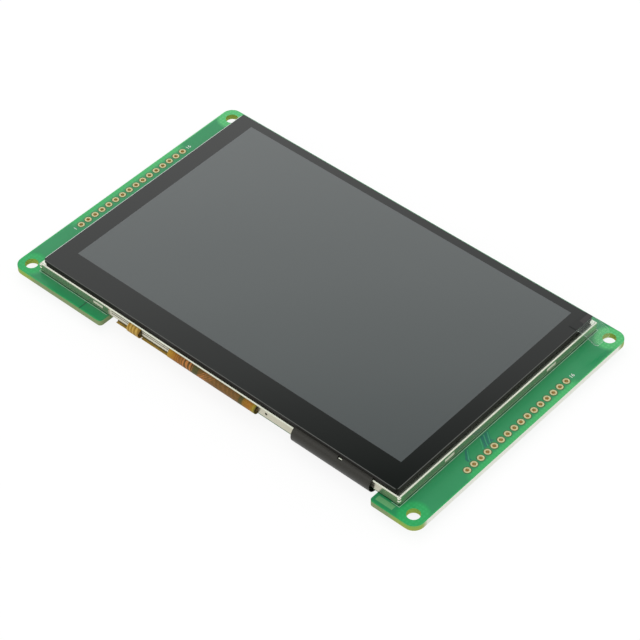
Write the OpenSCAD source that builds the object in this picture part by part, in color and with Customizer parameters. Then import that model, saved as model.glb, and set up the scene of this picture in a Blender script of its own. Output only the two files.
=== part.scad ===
// 5 inch TFT display module on its carrier board.
// X runs along the board, Y across it from the front edge (flex circuits) to the back, Z up.
// The origin is at the board's middle, on the surface that the underside components rest on.

/* [Circuit board] */
// Width of board beyond the metal frame at each short side
board_side_margin = 7.4; // [6.8:0.1:14]
// Width of board beyond the metal frame at the front
board_front_margin = 3.15; // [2.9:0.05:6]
// Width of board beyond the metal frame at the back
board_back_margin = 3.35; // [1:0.05:8]
// Thickness of the bare laminate
board_thickness = 1.6; // [1.0:0.1:2.4]
// Radius of the board's four outer corners
board_corner_radius = 3.0; // [1:0.1:3.4]
// Diameter of the four mounting holes
mount_hole_diameter = 3.5; // [2.2:0.1:3.6]
// Distance from each board edge to the centre of a mounting hole
mount_hole_inset = 3.5; // [3:0.1:4]

/* [Front cut-out] */
// Room in the cut-out to the left of the main flex
cutout_left_room = 3.1; // [1:0.1:8]
// Room in the cut-out to the right of the touch flex
cutout_right_room = 1.8; // [1:0.1:4]
// Depth of the cut-out behind the board's front edge
cutout_depth = 10.5; // [9:0.1:11]
// Radius of the two board corners beside the cut-out
tab_corner_radius = 1.0; // [0.5:0.1:3]
// Radius that the router leaves in the cut-out's inner corners
router_radius = 1.0; // [0.5:0.1:2]

/* [Header rows] */
// Holes in each header row
header_count = 16; // [4:1:20]
// Distance between header holes
header_pitch = 2.54; // [2:0.01:3]
// Distance from the board's short edge to the header row
header_inset = 2.65; // [2:0.05:3]
// Finished diameter of a header hole
header_hole_diameter = 1.0; // [0.8:0.05:1.2]
// Diameter of the copper ring round a header hole
header_pad_diameter = 1.8; // [1.6:0.05:2.1]
// Thickness of the plating in a header hole and of its rings
plating_thickness = 0.05; // [0.03:0.01:0.1]

/* [Metal frame] */
// Width of the metal frame beyond the active area at each short side
frame_side_border = 6.35; // [5.8:0.05:9]
// Width of the metal frame beyond the active area at the front
frame_front_border = 7.65; // [7.4:0.05:10]
// Width of the metal frame beyond the active area at the back
frame_back_border = 3.35; // [3.1:0.05:6]
// Offset of the display's middle from the board's middle, along X
display_shift_x = -0.15; // [-0.3:0.05:0.3]
// Sheet thickness of the metal frame
frame_sheet = 0.3; // [0.2:0.05:0.4]
// Outer bend radius along the metal frame's top edges
frame_bend_radius = 0.4; // [0.1:0.05:0.6]
// Width of the slit in the frame's folded corners
corner_slit = 0.25; // [0.1:0.05:0.4]
// Room in the front wall's opening to the right of the main flex
front_opening_room = 0.3; // [0.2:0.1:4]
// Height of the wall strip that stays under the lip along the front opening
front_strip_height = 0.35; // [0.31:0.01:0.5]
// Length of a latch slot in the frame's walls
latch_length = 3.6; // [2:0.1:5]
// Height of a latch slot in the frame's walls
latch_height = 1.0; // [0.6:0.1:1.2]
// Height of a latch slot's middle above the frame's bottom
latch_rise = 1.4; // [1.2:0.1:1.5]
// Distance from the display's middle to the latches in the long walls
long_wall_latch = 39.3; // [39:0.1:45]
// Distance from the display's middle to the latches in the short walls
short_wall_latch = 19.5; // [10:0.1:28]
// Diameter of the gauge hole beside the front opening
gauge_hole_diameter = 0.8; // [0.4:0.1:1.2]
// Distance from the front opening to the gauge hole
gauge_hole_offset = 2.6; // [1:0.1:3]

/* [Viewing area] */
// Length of the active area, along X
active_length = 108.0; // [100:0.5:150]
// Width of the active area, along Y
active_width = 64.8; // [60:0.5:95]
// Gap between the active area and the metal frame's window
frame_window_gap = 1.1; // [0.6:0.1:1.2]

/* [Display stack] */
// Thickness of the mounting tape under the display
mounting_tape_thickness = 0.1; // [0.05:0.05:0.4]
// Thickness of the reflector sheet
reflector_thickness = 0.1; // [0.05:0.05:0.3]
// Thickness of the light guide plate
light_guide_thickness = 0.8; // [0.6:0.1:1.2]
// Thickness of the diffuser sheet and of each prism sheet
film_thickness = 0.1; // [0.05:0.05:0.2]
// Thickness of the light shield tape
shield_tape_thickness = 0.2; // [0.2:0.05:0.3]
// Thickness of each polariser
polariser_thickness = 0.15; // [0.1:0.01:0.18]
// Thickness of each display glass
panel_glass_thickness = 0.4; // [0.3:0.05:0.6]
// Clearance between the front polariser and the metal frame's lip
lip_clearance = 0.15; // [0.1:0.05:0.3]
// Overhang of the light guide past the active area
guide_margin = 1.4; // [1:0.1:1.6]
// Overhang of the optical films past the active area
film_margin = 0.9; // [0.6:0.1:0.9]
// Overhang of the rear display glass past the active area at the sides
glass_side_margin = 3.2; // [2.6:0.1:3.4]
// Overhang of the rear display glass past the active area at the back
glass_back_margin = 1.8; // [1.7:0.1:1.9]
// Overhang of the rear display glass past the active area at the front
glass_front_margin = 5.1; // [4.8:0.1:5.3]
// Width of the rear glass left uncovered at the front for chips and flex
ledge_width = 3.0; // [2.8:0.1:3.4]
// Side clearance round pieces that drop into the mould frame
pocket_clearance = 0.15; // [0.05:0.05:0.2]
// Clearance between the mould frame and the metal frame
mould_clearance = 0.05; // [0.02:0.01:0.1]
// Depth of a groove in the mould frame's ribbed front face
rib_groove_depth = 0.08; // [0.04:0.02:0.14]
// Number of grooves in the mould frame's ribbed front face
rib_groove_count = 4; // [2:1:6]

/* [Backlight] */
// LEDs along the front edge of the light guide
led_count = 12; // [6:1:16]
// Length of a side-view LED
led_length = 3.8; // [3:0.1:4.5]
// Depth of a side-view LED
led_depth = 1.2; // [0.8:0.1:1.3]
// Height of a side-view LED
led_height = 0.75; // [0.5:0.05:0.8]
// Width of the backlight flex where it leaves the display
backlight_flex_width = 4.0; // [3:0.1:6]
// Middle of the backlight flex, from the display's middle
backlight_flex_x = -25.95; // [-27:0.05:-24]

/* [Main flex] */
// Thickness of a flex circuit
flex_thickness = 0.12; // [0.08:0.01:0.15]
// Gap between the display and the flex circuits that fold under it
flex_gap = 0.1; // [0.05:0.01:0.15]
// Distance of the flex bends' axis behind the metal frame's front face
bend_setback = 0.1; // [0:0.05:0.3]
// Width of the main flex round its bend
main_flex_width = 29.3; // [26:0.1:29.5]
// Middle of the main flex's bend, from the display's middle
main_flex_x = 0.75; // [0:0.05:1]
// Reach of the main flex's wide part to the left of its bend
apron_left_reach = 18.55; // [16:0.05:22]
// Reach of the main flex's wide part to the right of its bend
apron_right_reach = 0.95; // [0.4:0.05:2]
// Distance of the wide part's front edge in front of the metal frame
flex_apron_reach = 0.5; // [0.2:0.1:0.8]
// Width of the main flex's tail under the board
main_tail_width = 20.6; // [16:0.1:24]
// Contacts soldered at the end of the main flex
main_contact_count = 40; // [20:1:50]
// Distance between the main flex's contacts
main_contact_pitch = 0.5; // [0.3:0.01:0.5]
// Distance that the main flex's tail reaches under the board
main_tail_reach = 6.0; // [4:0.1:8]

/* [Touch panel] */
// Inset of the cover glass from the metal frame's short sides
cover_side_inset = 1.15; // [0.5:0.05:1.6]
// Inset of the cover glass from the metal frame's front
cover_front_inset = 0.25; // [0.1:0.05:0.4]
// Inset of the cover glass from the metal frame's back
cover_back_inset = 0.65; // [0.1:0.05:1]
// Thickness of the cover glass
cover_thickness = 1.1; // [0.7:0.1:1.8]
// Offset of the cover glass from the display's middle, along X
cover_shift_x = 0.15; // [-0.3:0.05:0.3]
// Corner radius of the cover glass
cover_corner_radius = 0.8; // [0.3:0.1:2]
// Width of the ground chamfer along the cover glass's edges
cover_chamfer = 0.15; // [0.05:0.05:0.2]
// Width of clear glass between the active area and the border print
window_gap = 0.15; // [0.05:0.05:0.6]
// Offset of the clear window from the active area's middle, along X
window_shift_x = 0.35; // [-0.5:0.05:0.5]
// Thickness of the border print
print_thickness = 0.02; // [0.01:0.01:0.05]
// Thickness of the gasket tape between the metal frame and the touch sensor
gasket_thickness = 0.2; // [0.1:0.05:0.5]
// Width of the gasket tape
gasket_width = 2.2; // [1.5:0.1:2.6]
// Thickness of the touch sensor
sensor_thickness = 0.4; // [0.2:0.05:0.7]
// Inset of the touch sensor from the cover glass's edges
sensor_inset = 0.5; // [0.3:0.1:0.8]
// Inset of the touch sensor from the cover glass's front edge
sensor_front_inset = 1.4; // [1.3:0.1:1.6]
// Thickness of the optical adhesive, border print included
adhesive_thickness = 0.15; // [0.13:0.01:0.25]

/* [Touch flex] */
// Middle of the touch flex's bend, from the display's middle
touch_flex_x = 39.6; // [38:0.1:41]
// Width of the touch flex round its bend
touch_flex_width = 24.7; // [20:0.1:27]
// Distance from the touch flex's left edge to its slit
touch_slit_offset = 14.0; // [12:0.1:16]
// Width of the slit in the touch flex
touch_slit_width = 1.4; // [0.6:0.1:2]
// Length of the touch flex bonded to the sensor
touch_bond_length = 2.4; // [1.5:0.1:3]
// Distance of the touch flex bend's axis behind the cover glass's front edge
touch_bend_setback = 1.25; // [1.15:0.05:1.35]
// Width of the touch flex's tail
touch_tail_width = 8.0; // [6:0.1:12]
// Offset of the touch flex's tail from the middle of its bend
touch_tail_shift = 2.05; // [-4:0.05:4]

/* [Pull tab] */
// Length of the clear pull tab that is stuck to the cover glass
tab_stuck_length = 2.4; // [1:0.1:8]
// Length of the clear pull tab beyond the cover glass
tab_free_length = 6.1; // [3:0.1:7]
// Width of the clear pull tab, along Y
tab_width = 6.5; // [4:0.1:12]
// Thickness of the clear pull tab
tab_thickness = 0.1; // [0.05:0.01:0.2]
// Radius at which the free end of the pull tab curls down
tab_curl_radius = 10; // [9:0.5:40]
// Radius of the pull tab's two free corners
tab_corner = 1.2; // [0.5:0.1:2]

/* [Underside components] */
// Height of the tallest components, which the module rests on
rest_height = 2.0; // [1.9:0.1:3]
// Side of the display controller's body
controller_side = 14; // [10:1:16]
// Height of the display controller above the board
controller_height = 1.5; // [1.2:0.1:1.8]
// Leads along each side of the display controller
controller_leads_per_side = 25; // [16:1:27]
// Distance between the display controller's leads
controller_lead_pitch = 0.5; // [0.4:0.05:0.5]
// Span of the display controller over its leads
controller_span_margin = 1.0; // [0.8:0.1:1.2]
// Side of a power inductor
inductor_side = 5.0; // [4:0.1:6]
// Length of a boost converter's body
converter_length = 2.9; // [2:0.1:3.2]
// Width of a boost converter's body
converter_width = 1.6; // [1.2:0.1:2]
// Height of a boost converter's body
converter_height = 1.1; // [0.8:0.1:1.3]
// Length of the voltage regulator's body
regulator_length = 6.5; // [5:0.1:7]
// Width of the voltage regulator's body
regulator_width = 3.5; // [3:0.1:4]
// Height of the voltage regulator's body
regulator_height = 1.6; // [1.4:0.1:1.8]
// Length of a rectifier diode's body
diode_length = 4.3; // [3:0.1:4.6]
// Width of a rectifier diode's body
diode_width = 2.6; // [2:0.1:2.8]
// Height of a rectifier diode's body
diode_height = 1.6; // [1:0.1:1.7]
// Length of a bulk capacitor
bulk_length = 3.5; // [3:0.1:6]
// Width of a bulk capacitor
bulk_width = 2.8; // [2:0.1:3.2]
// Length of a ceramic capacitor
ceramic_length = 2.0; // [1:0.1:3.2]
// Width of a ceramic capacitor
ceramic_width = 1.25; // [0.5:0.05:1.6]
// Height of a ceramic capacitor
ceramic_height = 0.85; // [0.5:0.05:1.2]
// Length of a chip resistor
resistor_length = 1.6; // [1:0.1:2]
// Width of a chip resistor
resistor_width = 0.8; // [0.5:0.05:1.25]
// Height of a chip resistor
resistor_height = 0.45; // [0.3:0.05:0.6]
// Length of the crystal's package
crystal_length = 5.0; // [3.2:0.1:7]
// Width of the crystal's package
crystal_width = 3.2; // [2.5:0.1:5]
// Height of the crystal's ceramic base
crystal_base_height = 0.6; // [0.4:0.05:0.8]
// Height of the crystal's metal lid
crystal_lid_height = 0.4; // [0.2:0.05:0.6]
// Length of a driver chip on the display glass
driver_chip_length = 17; // [8:0.5:20]
// Width of a driver chip on the display glass
driver_chip_width = 0.9; // [0.6:0.1:1]
// Height of a driver chip on the display glass
driver_chip_height = 0.3; // [0.2:0.05:0.4]
// Side of the touch controller, on the touch flex
touch_chip_side = 4.4; // [3:0.1:4.6]
// Height of the touch controller
touch_chip_height = 0.75; // [0.5:0.05:1]
// Contacts of the touch connector
touch_contact_count = 8; // [6:1:10]
// Distance between the touch connector's contacts
touch_contact_pitch = 0.9; // [0.5:0.1:1]

/* [Hidden] */
$fn = 64;

cut = 1;            // how far a cutting shape runs past the face that it opens
steel = "silver";
tin = "gainsboro";
amber = "darkgoldenrod";
plastic_black = [0.1, 0.1, 0.1];

// Heights, from the resting surface upwards
board_bottom = rest_height;
board_top = board_bottom + board_thickness;
display_bottom = board_top + mounting_tape_thickness;
guide_bottom = display_bottom + reflector_thickness;
guide_top = guide_bottom + light_guide_thickness;
films_top = guide_top + 3 * film_thickness;
tft_bottom = films_top + shield_tape_thickness;
tft_top = tft_bottom + panel_glass_thickness;
filter_top = tft_top + panel_glass_thickness;
lip_bottom = filter_top + polariser_thickness + lip_clearance;
frame_top = lip_bottom + frame_sheet;
sensor_bottom = frame_top + gasket_thickness;
sensor_top = sensor_bottom + sensor_thickness;
cover_bottom = sensor_top + adhesive_thickness;
cover_top = cover_bottom + cover_thickness;

// Overall sizes that follow from the active area and the borders round it
frame_length = active_length + 2 * frame_side_border;
frame_width = active_width + frame_front_border + frame_back_border;
board_length = frame_length + 2 * board_side_margin;
board_width = frame_width + board_front_margin + board_back_margin;
board_front = -board_width / 2;

// Outlines as [low x, low y, high x, high y]
frame_box = [
    display_shift_x - frame_length / 2, board_front + board_front_margin,
    display_shift_x + frame_length / 2, board_width / 2 - board_back_margin
];
mould_box = grow(frame_box, -(frame_sheet + mould_clearance));
active_box = [
    frame_box[0] + frame_side_border, frame_box[1] + frame_front_border,
    frame_box[2] - frame_side_border, frame_box[3] - frame_back_border
];
window_box = shifted(grow(active_box, window_gap), window_shift_x);
cover_box = shifted([
    frame_box[0] + cover_side_inset, frame_box[1] + cover_front_inset,
    frame_box[2] - cover_side_inset, frame_box[3] - cover_back_inset
], cover_shift_x);
guide_box = grow(active_box, guide_margin);
film_box = grow(active_box, film_margin);
tft_box = [
    active_box[0] - glass_side_margin, active_box[1] - glass_front_margin,
    active_box[2] + glass_side_margin, active_box[3] + glass_back_margin
];
filter_box = [tft_box[0], tft_box[1] + ledge_width, tft_box[2], tft_box[3]];
sensor_box = [
    cover_box[0] + sensor_inset, cover_box[1] + sensor_front_inset,
    cover_box[2] - sensor_inset, cover_box[3] - sensor_inset
];
gasket_inset = 0.4;
gasket_box = grow(cover_box, -gasket_inset);

cutout_back = board_front + cutout_depth;
header_x = board_length / 2 - header_inset;
mount_x = board_length / 2 - mount_hole_inset;
mount_y = board_width / 2 - mount_hole_inset;

// Backlight row in front of the light guide
led_gap = 0.1;
led_back = guide_box[1] - led_gap;
led_front = led_back - led_depth;
channel_front = led_front - 0.55;
strip_back = guide_box[1] + 0.3;
strip_front = channel_front + 0.05;
backlight_x = display_shift_x + backlight_flex_x;
backlight_left = backlight_x - backlight_flex_width / 2;
backlight_right = backlight_x + backlight_flex_width / 2;
backlight_ramp_back = tft_box[1] - 0.4;

// Bends of the two amber flex circuits
bend_y = frame_box[1] + bend_setback;
flex_lip_gap = 0.1;
bend_top = lip_bottom - flex_lip_gap;
main_run_top = display_bottom - flex_gap;
main_run_bottom = main_run_top - flex_thickness;
backlight_run_bottom = main_run_bottom - flex_thickness;
main_x = display_shift_x + main_flex_x;
main_left = main_x - main_flex_width / 2;
main_right = main_x + main_flex_width / 2;
main_bond_back = tft_box[1] + 1.3;
main_apron_front = frame_box[1] - flex_apron_reach;
main_apron_back = cutout_back - 3.15;
main_dive_end = cutout_back - 0.8;
apron_left = main_left - apron_left_reach;
apron_right = main_right + apron_right_reach;
tail_bottom = board_bottom - flex_thickness - 0.01;
main_tail_end = cutout_back + main_tail_reach;
backlight_tail_end = frame_box[1] + 2.4;

// Bend and tail of the touch flex
touch_bond_back = sensor_box[1] + touch_bond_length;
touch_bend_y = cover_box[1] + touch_bend_setback;
touch_top = sensor_top + flex_thickness;
touch_run_top = board_bottom - 0.05;
touch_run_bottom = touch_run_top - flex_thickness;
touch_run_back = cutout_back + 1.5;
touch_flex_middle = display_shift_x + touch_flex_x;
touch_flex_left = touch_flex_middle - touch_flex_width / 2;
touch_flex_right = touch_flex_middle + touch_flex_width / 2;
touch_slit_left = touch_flex_left + touch_slit_offset;
touch_tail_x = touch_flex_middle + touch_tail_shift;
touch_tail_left = touch_tail_x - touch_tail_width / 2;
touch_tail_right = touch_tail_x + touch_tail_width / 2;
touch_mouth_y = cutout_back + 6.5;
touch_mouth_top = board_bottom - 0.75;
touch_pocket_depth = 3.0;
touch_housing_depth = 5.0;
touch_housing_side = 2.2;

// Sides of the board's cut-out and of the opening in the metal frame's front wall
cutout_low_x = apron_left - cutout_left_room;
cutout_high_x = touch_flex_right + cutout_right_room;
opening_right = main_right + front_opening_room;

function centred_box(x, y, length, width) = [x - length / 2, y - width / 2, x + length / 2, y + width / 2];
function shifted(box, x) = [box[0] + x, box[1], box[2] + x, box[3]];
function grow(box, margin) = [box[0] - margin, box[1] - margin, box[2] + margin, box[3] + margin];

// Rectangle over an outline, drawn in the plane
module outline(box) {
    translate([box[0], box[1]])
        square([box[2] - box[0], box[3] - box[1]]);
}

// Rectangle over an outline with round corners, drawn in the plane
module round_outline(box, radius) {
    outline([box[0] + radius, box[1], box[2] - radius, box[3]]);
    outline([box[0], box[1] + radius, box[2], box[3] - radius]);
    for (x = [box[0] + radius, box[2] - radius], y = [box[1] + radius, box[3] - radius])
        translate([x, y])
            circle(r = radius);
}

// Plate over an outline between two heights
module plate(box, low, high) {
    translate([box[0], box[1], low])
        cube([box[2] - box[0], box[3] - box[1], high - low]);
}

// Flat ring between two outlines
module ring(outer, inner, low, high) {
    difference() {
        plate(outer, low, high);
        plate(inner, low - cut, high + cut);
    }
}

// Profile in the YZ plane drawn out along X from one place to another
module along_x(left, right) {
    translate([left, 0, 0])
        rotate([90, 0, 90])
            linear_extrude(right - left)
                children();
}

// Profile in the XZ plane drawn out along Y from one place to another
module along_y(front, back) {
    translate([0, back, 0])
        rotate([90, 0, 0])
            linear_extrude(back - front)
                children();
}

// Half ring that opens towards the back, for a flex folded over on itself
module fold_profile(y, low, high) {
    radius = (high - low) / 2;
    translate([y, low + radius])
        difference() {
            circle(r = radius);
            circle(r = radius - flex_thickness);
            translate([0, -2 * radius])
                square(4 * radius);
        }
}

// Sloping stretch of flex between two places, each given by its lower side
module slope_profile(start, end) {
    polygon([start, end, [end[0], end[1] + flex_thickness], [start[0], start[1] + flex_thickness]]);
}

// Flat stretch of flex, given by its lower side
module flat_profile(front, back, low) {
    translate([front, low])
        square([back - front, flex_thickness]);
}

module circuit_board() {
    color("seagreen")
        difference() {
            translate([0, 0, board_bottom])
                linear_extrude(board_thickness)
                    difference() {
                        board_outline();
                        cutout_outline();
                    }
            for (x = [-mount_x, mount_x], y = [-mount_y, mount_y])
                translate([x, y, board_bottom - cut])
                    cylinder(d = mount_hole_diameter, h = board_thickness + 2 * cut);
            for (x = [-header_x, header_x], i = [0 : header_count - 1])
                translate([x, header_y(i), board_bottom - cut])
                    cylinder(d = header_hole_diameter + 2 * plating_thickness, h = board_thickness + 2 * cut);
        }
}

module board_outline() {
    round_outline(centred_box(0, 0, board_length, board_width), board_corner_radius);
}

// Cut-out with router corners at the back and rounded board corners at the front
module cutout_outline() {
    round_outline([cutout_low_x, board_front + tab_corner_radius, cutout_high_x, cutout_back], router_radius);
    outline([cutout_low_x, board_front - cut, cutout_high_x, cutout_back - 2 * router_radius]);
    translate([cutout_low_x, board_front])
        tab_corner(-1);
    translate([cutout_high_x, board_front])
        tab_corner(1);
}

// What a rounding takes off a square corner of the board, to the given side of the cut-out
module tab_corner(side) {
    translate([side * tab_corner_radius / 2, tab_corner_radius / 2])
        difference() {
            square(tab_corner_radius, center = true);
            translate([side * tab_corner_radius / 2, tab_corner_radius / 2])
                circle(r = tab_corner_radius);
        }
}

function header_y(i) = (i - (header_count - 1) / 2) * header_pitch;

// Plated holes of one header row, each with a ring on both faces of the board
module header_row(x) {
    for (i = [0 : header_count - 1])
        translate([x, header_y(i), board_bottom])
            plated_barrel();
}

module plated_barrel() {
    bore = header_hole_diameter / 2;
    wall = bore + plating_thickness;
    pad = header_pad_diameter / 2;
    low = -plating_thickness;
    high = board_thickness + plating_thickness;
    rotate_extrude()
        polygon([
            [bore, low], [pad, low], [pad, 0], [wall, 0],
            [wall, board_thickness], [pad, board_thickness], [pad, high], [bore, high]
        ]);
}

module left_header_barrels() {
    color("khaki")
        header_row(-header_x);
}

module right_header_barrels() {
    color("khaki")
        header_row(header_x);
}

// Strips of double-sided tape: one along each short side and one along the back
module mounting_tape() {
    strip = 5;
    edge_gap = 1.5;
    box = grow(frame_box, -edge_gap);
    color("whitesmoke") {
        plate([box[0], cutout_back + edge_gap, box[0] + strip, box[3]], board_top, display_bottom);
        plate([box[2] - strip, cutout_back + edge_gap, box[2], box[3]], board_top, display_bottom);
        plate([box[0] + 2 * strip, box[3] - strip, box[2] - 2 * strip, box[3]], board_top, display_bottom);
    }
}

// Tunnel section whose two top corners follow the bend of the sheet
module bent_section(low_edge, high_edge, low, high, radius) {
    translate([low_edge, low])
        square([high_edge - low_edge, high - radius - low]);
    translate([low_edge + radius, low])
        square([high_edge - low_edge - 2 * radius, high - low]);
    for (edge = [low_edge + radius, high_edge - radius])
        translate([edge, high - radius])
            circle(r = radius);
}

// Box with all four top edges rounded as folded sheet metal is
module bent_box(box, low, high, radius) {
    intersection() {
        along_x(box[0], box[2])
            bent_section(box[1], box[3], low, high, radius);
        along_y(box[1], box[3])
            bent_section(box[0], box[2], low, high, radius);
    }
}

// Latch slots of one long and one short wall pair, as blocks through the walls
module latch_blocks(box, depth, clearance) {
    half = latch_length / 2 - clearance;
    low = display_bottom + latch_rise - latch_height / 2 + clearance;
    high = display_bottom + latch_rise + latch_height / 2 - clearance;
    middle_x = (box[0] + box[2]) / 2;
    middle_y = (box[1] + box[3]) / 2;
    for (side = [-1, 1]) {
        x = middle_x + side * long_wall_latch;
        y = middle_y + side * short_wall_latch;
        plate([x - half, box[1], x + half, box[1] + depth], low, high);
        plate([x - half, box[3] - depth, x + half, box[3]], low, high);
        plate([box[0], y - half, box[0] + depth, y + half], low, high);
        plate([box[2] - depth, y - half, box[2], y + half], low, high);
    }
}

module metal_frame() {
    inner = grow(frame_box, -frame_sheet);
    inner_bend = max(frame_bend_radius - frame_sheet, 0.05);
    color(steel)
        difference() {
            bent_box(frame_box, display_bottom, frame_top, frame_bend_radius);
            bent_box(inner, display_bottom - cut, lip_bottom, inner_bend);
            plate(grow(active_box, frame_window_gap), lip_bottom - cut, frame_top + cut);
            // front opening under the lip, for the flex circuits
            plate(
                [cutout_low_x, frame_box[1] - cut, opening_right, inner[1] + inner_bend],
                display_bottom - cut, frame_top - front_strip_height
            );
            latch_blocks(grow(frame_box, cut), cut + frame_sheet + 0.01, 0);
            // slits where the walls meet in the folded corners
            for (x = [frame_box[0], frame_box[2]], y = [frame_box[1], frame_box[3]])
                translate([x, y, display_bottom - cut])
                    linear_extrude(frame_top - frame_bend_radius - display_bottom + cut)
                        rotate(45)
                            square([corner_slit, 4 * frame_sheet], center = true);
            translate([opening_right + gauge_hole_offset, frame_box[1] + frame_sheet + 0.01, gauge_height()])
                rotate([90, 0, 0])
                    cylinder(d = gauge_hole_diameter, h = frame_sheet + cut);
        }
}

function gauge_height() = display_bottom + latch_rise + 0.2;

// Moulded white frame: a lower pocket for the light guide and an upper one for the display glass
module mould_frame() {
    top = lip_bottom - mould_clearance;
    lower_pocket = [
        guide_box[0] - pocket_clearance, channel_front,
        guide_box[2] + pocket_clearance, guide_box[3] + pocket_clearance
    ];
    upper_pocket = grow(tft_box, pocket_clearance);
    color("white") {
        difference() {
            union() {
                plate(mould_box, display_bottom, top);
                latch_blocks(grow(frame_box, -0.05), frame_sheet + 0.5, 0.1);
            }
            plate(lower_pocket, display_bottom - cut, top + cut);
            plate(upper_pocket, films_top, top + cut);
            // way out of the front wall for the main flex
            plate(
                [main_left - 0.3, mould_box[1] - cut, main_right + 0.3, upper_pocket[1] + 0.01],
                tft_top - 0.05, top + cut
            );
            // way out for the backlight flex, from the LED channel up to the lip
            plate(
                [backlight_left - 0.2, mould_box[1] - cut, backlight_right + 0.2, channel_front + 0.01],
                guide_top - 0.02, top + cut
            );
            rib_grooves();
        }
    }
}

// Shallow grooves along the front face, inside the metal frame's opening
module rib_grooves() {
    end_gap = 0.6;
    left = cutout_low_x + end_gap;
    right = opening_right - end_gap;
    room = tft_top - 0.3 - display_bottom;
    step = room / rib_groove_count;
    for (i = [0 : rib_groove_count - 1])
        translate([left, mould_box[1] - rib_groove_depth, display_bottom + (i + 0.6) * step])
            cube([right - left, 2 * rib_groove_depth, step / 3]);
}

module reflector_sheet() {
    color("white")
        plate([guide_box[0], led_front, guide_box[2], guide_box[3]], display_bottom, guide_bottom);
}

module light_guide() {
    color("aliceblue")
        plate(guide_box, guide_bottom, guide_top);
}

module backlight_leds() {
    spacing = (guide_box[2] - guide_box[0]) / led_count;
    color("lightyellow")
        for (i = [0 : led_count - 1])
            translate([guide_box[0] + (i + 0.5) * spacing - led_length / 2, led_front, guide_top - led_height])
                cube([led_length, led_depth, led_height]);
}

// LED strip on top of the LEDs, and the tail that folds out under the metal lip
module backlight_flex() {
    color(amber) {
        plate([guide_box[0], strip_front, guide_box[2], strip_back], guide_top, guide_top + flex_thickness);
        along_x(backlight_left, backlight_right) {
            flat_profile(backlight_ramp_back, strip_front + 0.1, guide_top);
            slope_profile([bend_y, bend_top - flex_thickness], [backlight_ramp_back, guide_top]);
            fold_profile(bend_y, backlight_run_bottom, bend_top);
            flat_profile(bend_y, backlight_tail_end, backlight_run_bottom);
        }
    }
}

module diffuser_sheet() {
    color("white")
        plate(film_box, guide_top, guide_top + film_thickness);
}

module lower_prism_sheet() {
    color("lavender")
        plate(film_box, guide_top + film_thickness, guide_top + 2 * film_thickness);
}

module upper_prism_sheet() {
    color("lavender")
        plate(film_box, guide_top + 2 * film_thickness, films_top);
}

// Black tape that holds the display glass and hides the edge of the light
module light_shield_tape() {
    color(plastic_black)
        ring(tft_box, grow(active_box, 0.5), films_top, tft_bottom);
}

module rear_polariser() {
    color("dimgray")
        plate(grow(active_box, 0.4), tft_bottom - polariser_thickness, tft_bottom);
}

module tft_glass() {
    color("darkslategray")
        plate(tft_box, tft_bottom, tft_top);
}

module colour_filter_glass() {
    color("darkslategray")
        plate(filter_box, tft_top, filter_top);
}

module front_polariser() {
    color("dimgray")
        plate(grow(active_box, 0.8), filter_top, filter_top + polariser_thickness);
}

// Two long driver chips on the glass ledge, behind the main flex's bond
module driver_chips() {
    gap = 0.35;
    front = filter_box[1] - driver_chip_width - gap;
    color(plastic_black)
        for (side = [-1, 1])
            translate([main_x + side * 0.82 * driver_chip_length - driver_chip_length / 2, front, tft_top])
                cube([driver_chip_length, driver_chip_width, driver_chip_height]);
}

// Display flex: bonded to the glass ledge, folded round the front, with a wide part under the display
module main_flex() {
    tail = [main_x - main_tail_width / 2, main_x + main_tail_width / 2];
    ramp_front = frame_box[1] + 1.0;
    ramp_back = tft_box[1] - 0.05;
    color(amber) {
        along_x(main_left, main_right) {
            flat_profile(ramp_back, main_bond_back, tft_top);
            slope_profile([ramp_front, bend_top - flex_thickness], [ramp_back, tft_top]);
            flat_profile(bend_y, ramp_front, bend_top - flex_thickness);
            fold_profile(bend_y, main_run_bottom, bend_top);
            flat_profile(bend_y, main_apron_back, main_run_bottom);
        }
        flex_apron();
        along_x(tail[0], tail[1]) {
            slope_profile([main_apron_back, main_run_bottom], [main_dive_end, tail_bottom]);
            flat_profile(main_dive_end, main_tail_end, tail_bottom);
        }
    }
}

// Wide part under the display, notched where the backlight flex folds round it
module flex_apron() {
    notch_gap = 0.3;
    left_part = [apron_left, main_apron_front, main_left - 2 * notch_gap, main_apron_back];
    right_part = [main_left - 3 * notch_gap, bend_y + 2 * notch_gap, apron_right, main_apron_back];
    difference() {
        union() {
            plate(left_part, main_run_bottom, main_run_top);
            plate(right_part, main_run_bottom, main_run_top);
        }
        plate(
            [backlight_left - notch_gap, main_apron_front - cut, backlight_right + notch_gap, bend_y],
            main_run_bottom - cut, main_run_top + cut
        );
    }
}

module gasket_tape() {
    color(plastic_black)
        ring(gasket_box, grow(gasket_box, -gasket_width), frame_top, sensor_bottom);
}

module touch_sensor() {
    color("slategray")
        plate(sensor_box, sensor_bottom, sensor_top);
}

// Clear adhesive over the sensor, left out where the touch flex is bonded
module optical_adhesive() {
    color("aliceblue")
        difference() {
            plate(sensor_box, sensor_top, cover_bottom - print_thickness);
            plate(
                [touch_flex_left - 0.4, sensor_box[1] - cut, touch_flex_right + 0.4, touch_bond_back + 0.2],
                sensor_top - cut, cover_bottom
            );
        }
}

module border_print() {
    color(plastic_black)
        ring(grow(cover_box, -0.3), window_box, cover_bottom - print_thickness, cover_bottom);
}

module cover_glass() {
    color([0.2, 0.22, 0.22])
        difference() {
            translate([0, 0, cover_bottom])
                linear_extrude(cover_thickness)
                    round_outline(cover_box, cover_corner_radius);
            for (z = [cover_bottom, cover_top]) {
                for (x = [cover_box[0], cover_box[2]])
                    along_y(cover_box[1] - cut, cover_box[3] + cut)
                        chamfer_cut(x, z);
                for (y = [cover_box[1], cover_box[3]])
                    along_x(cover_box[0] - cut, cover_box[2] + cut)
                        chamfer_cut(y, z);
            }
        }
}

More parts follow.
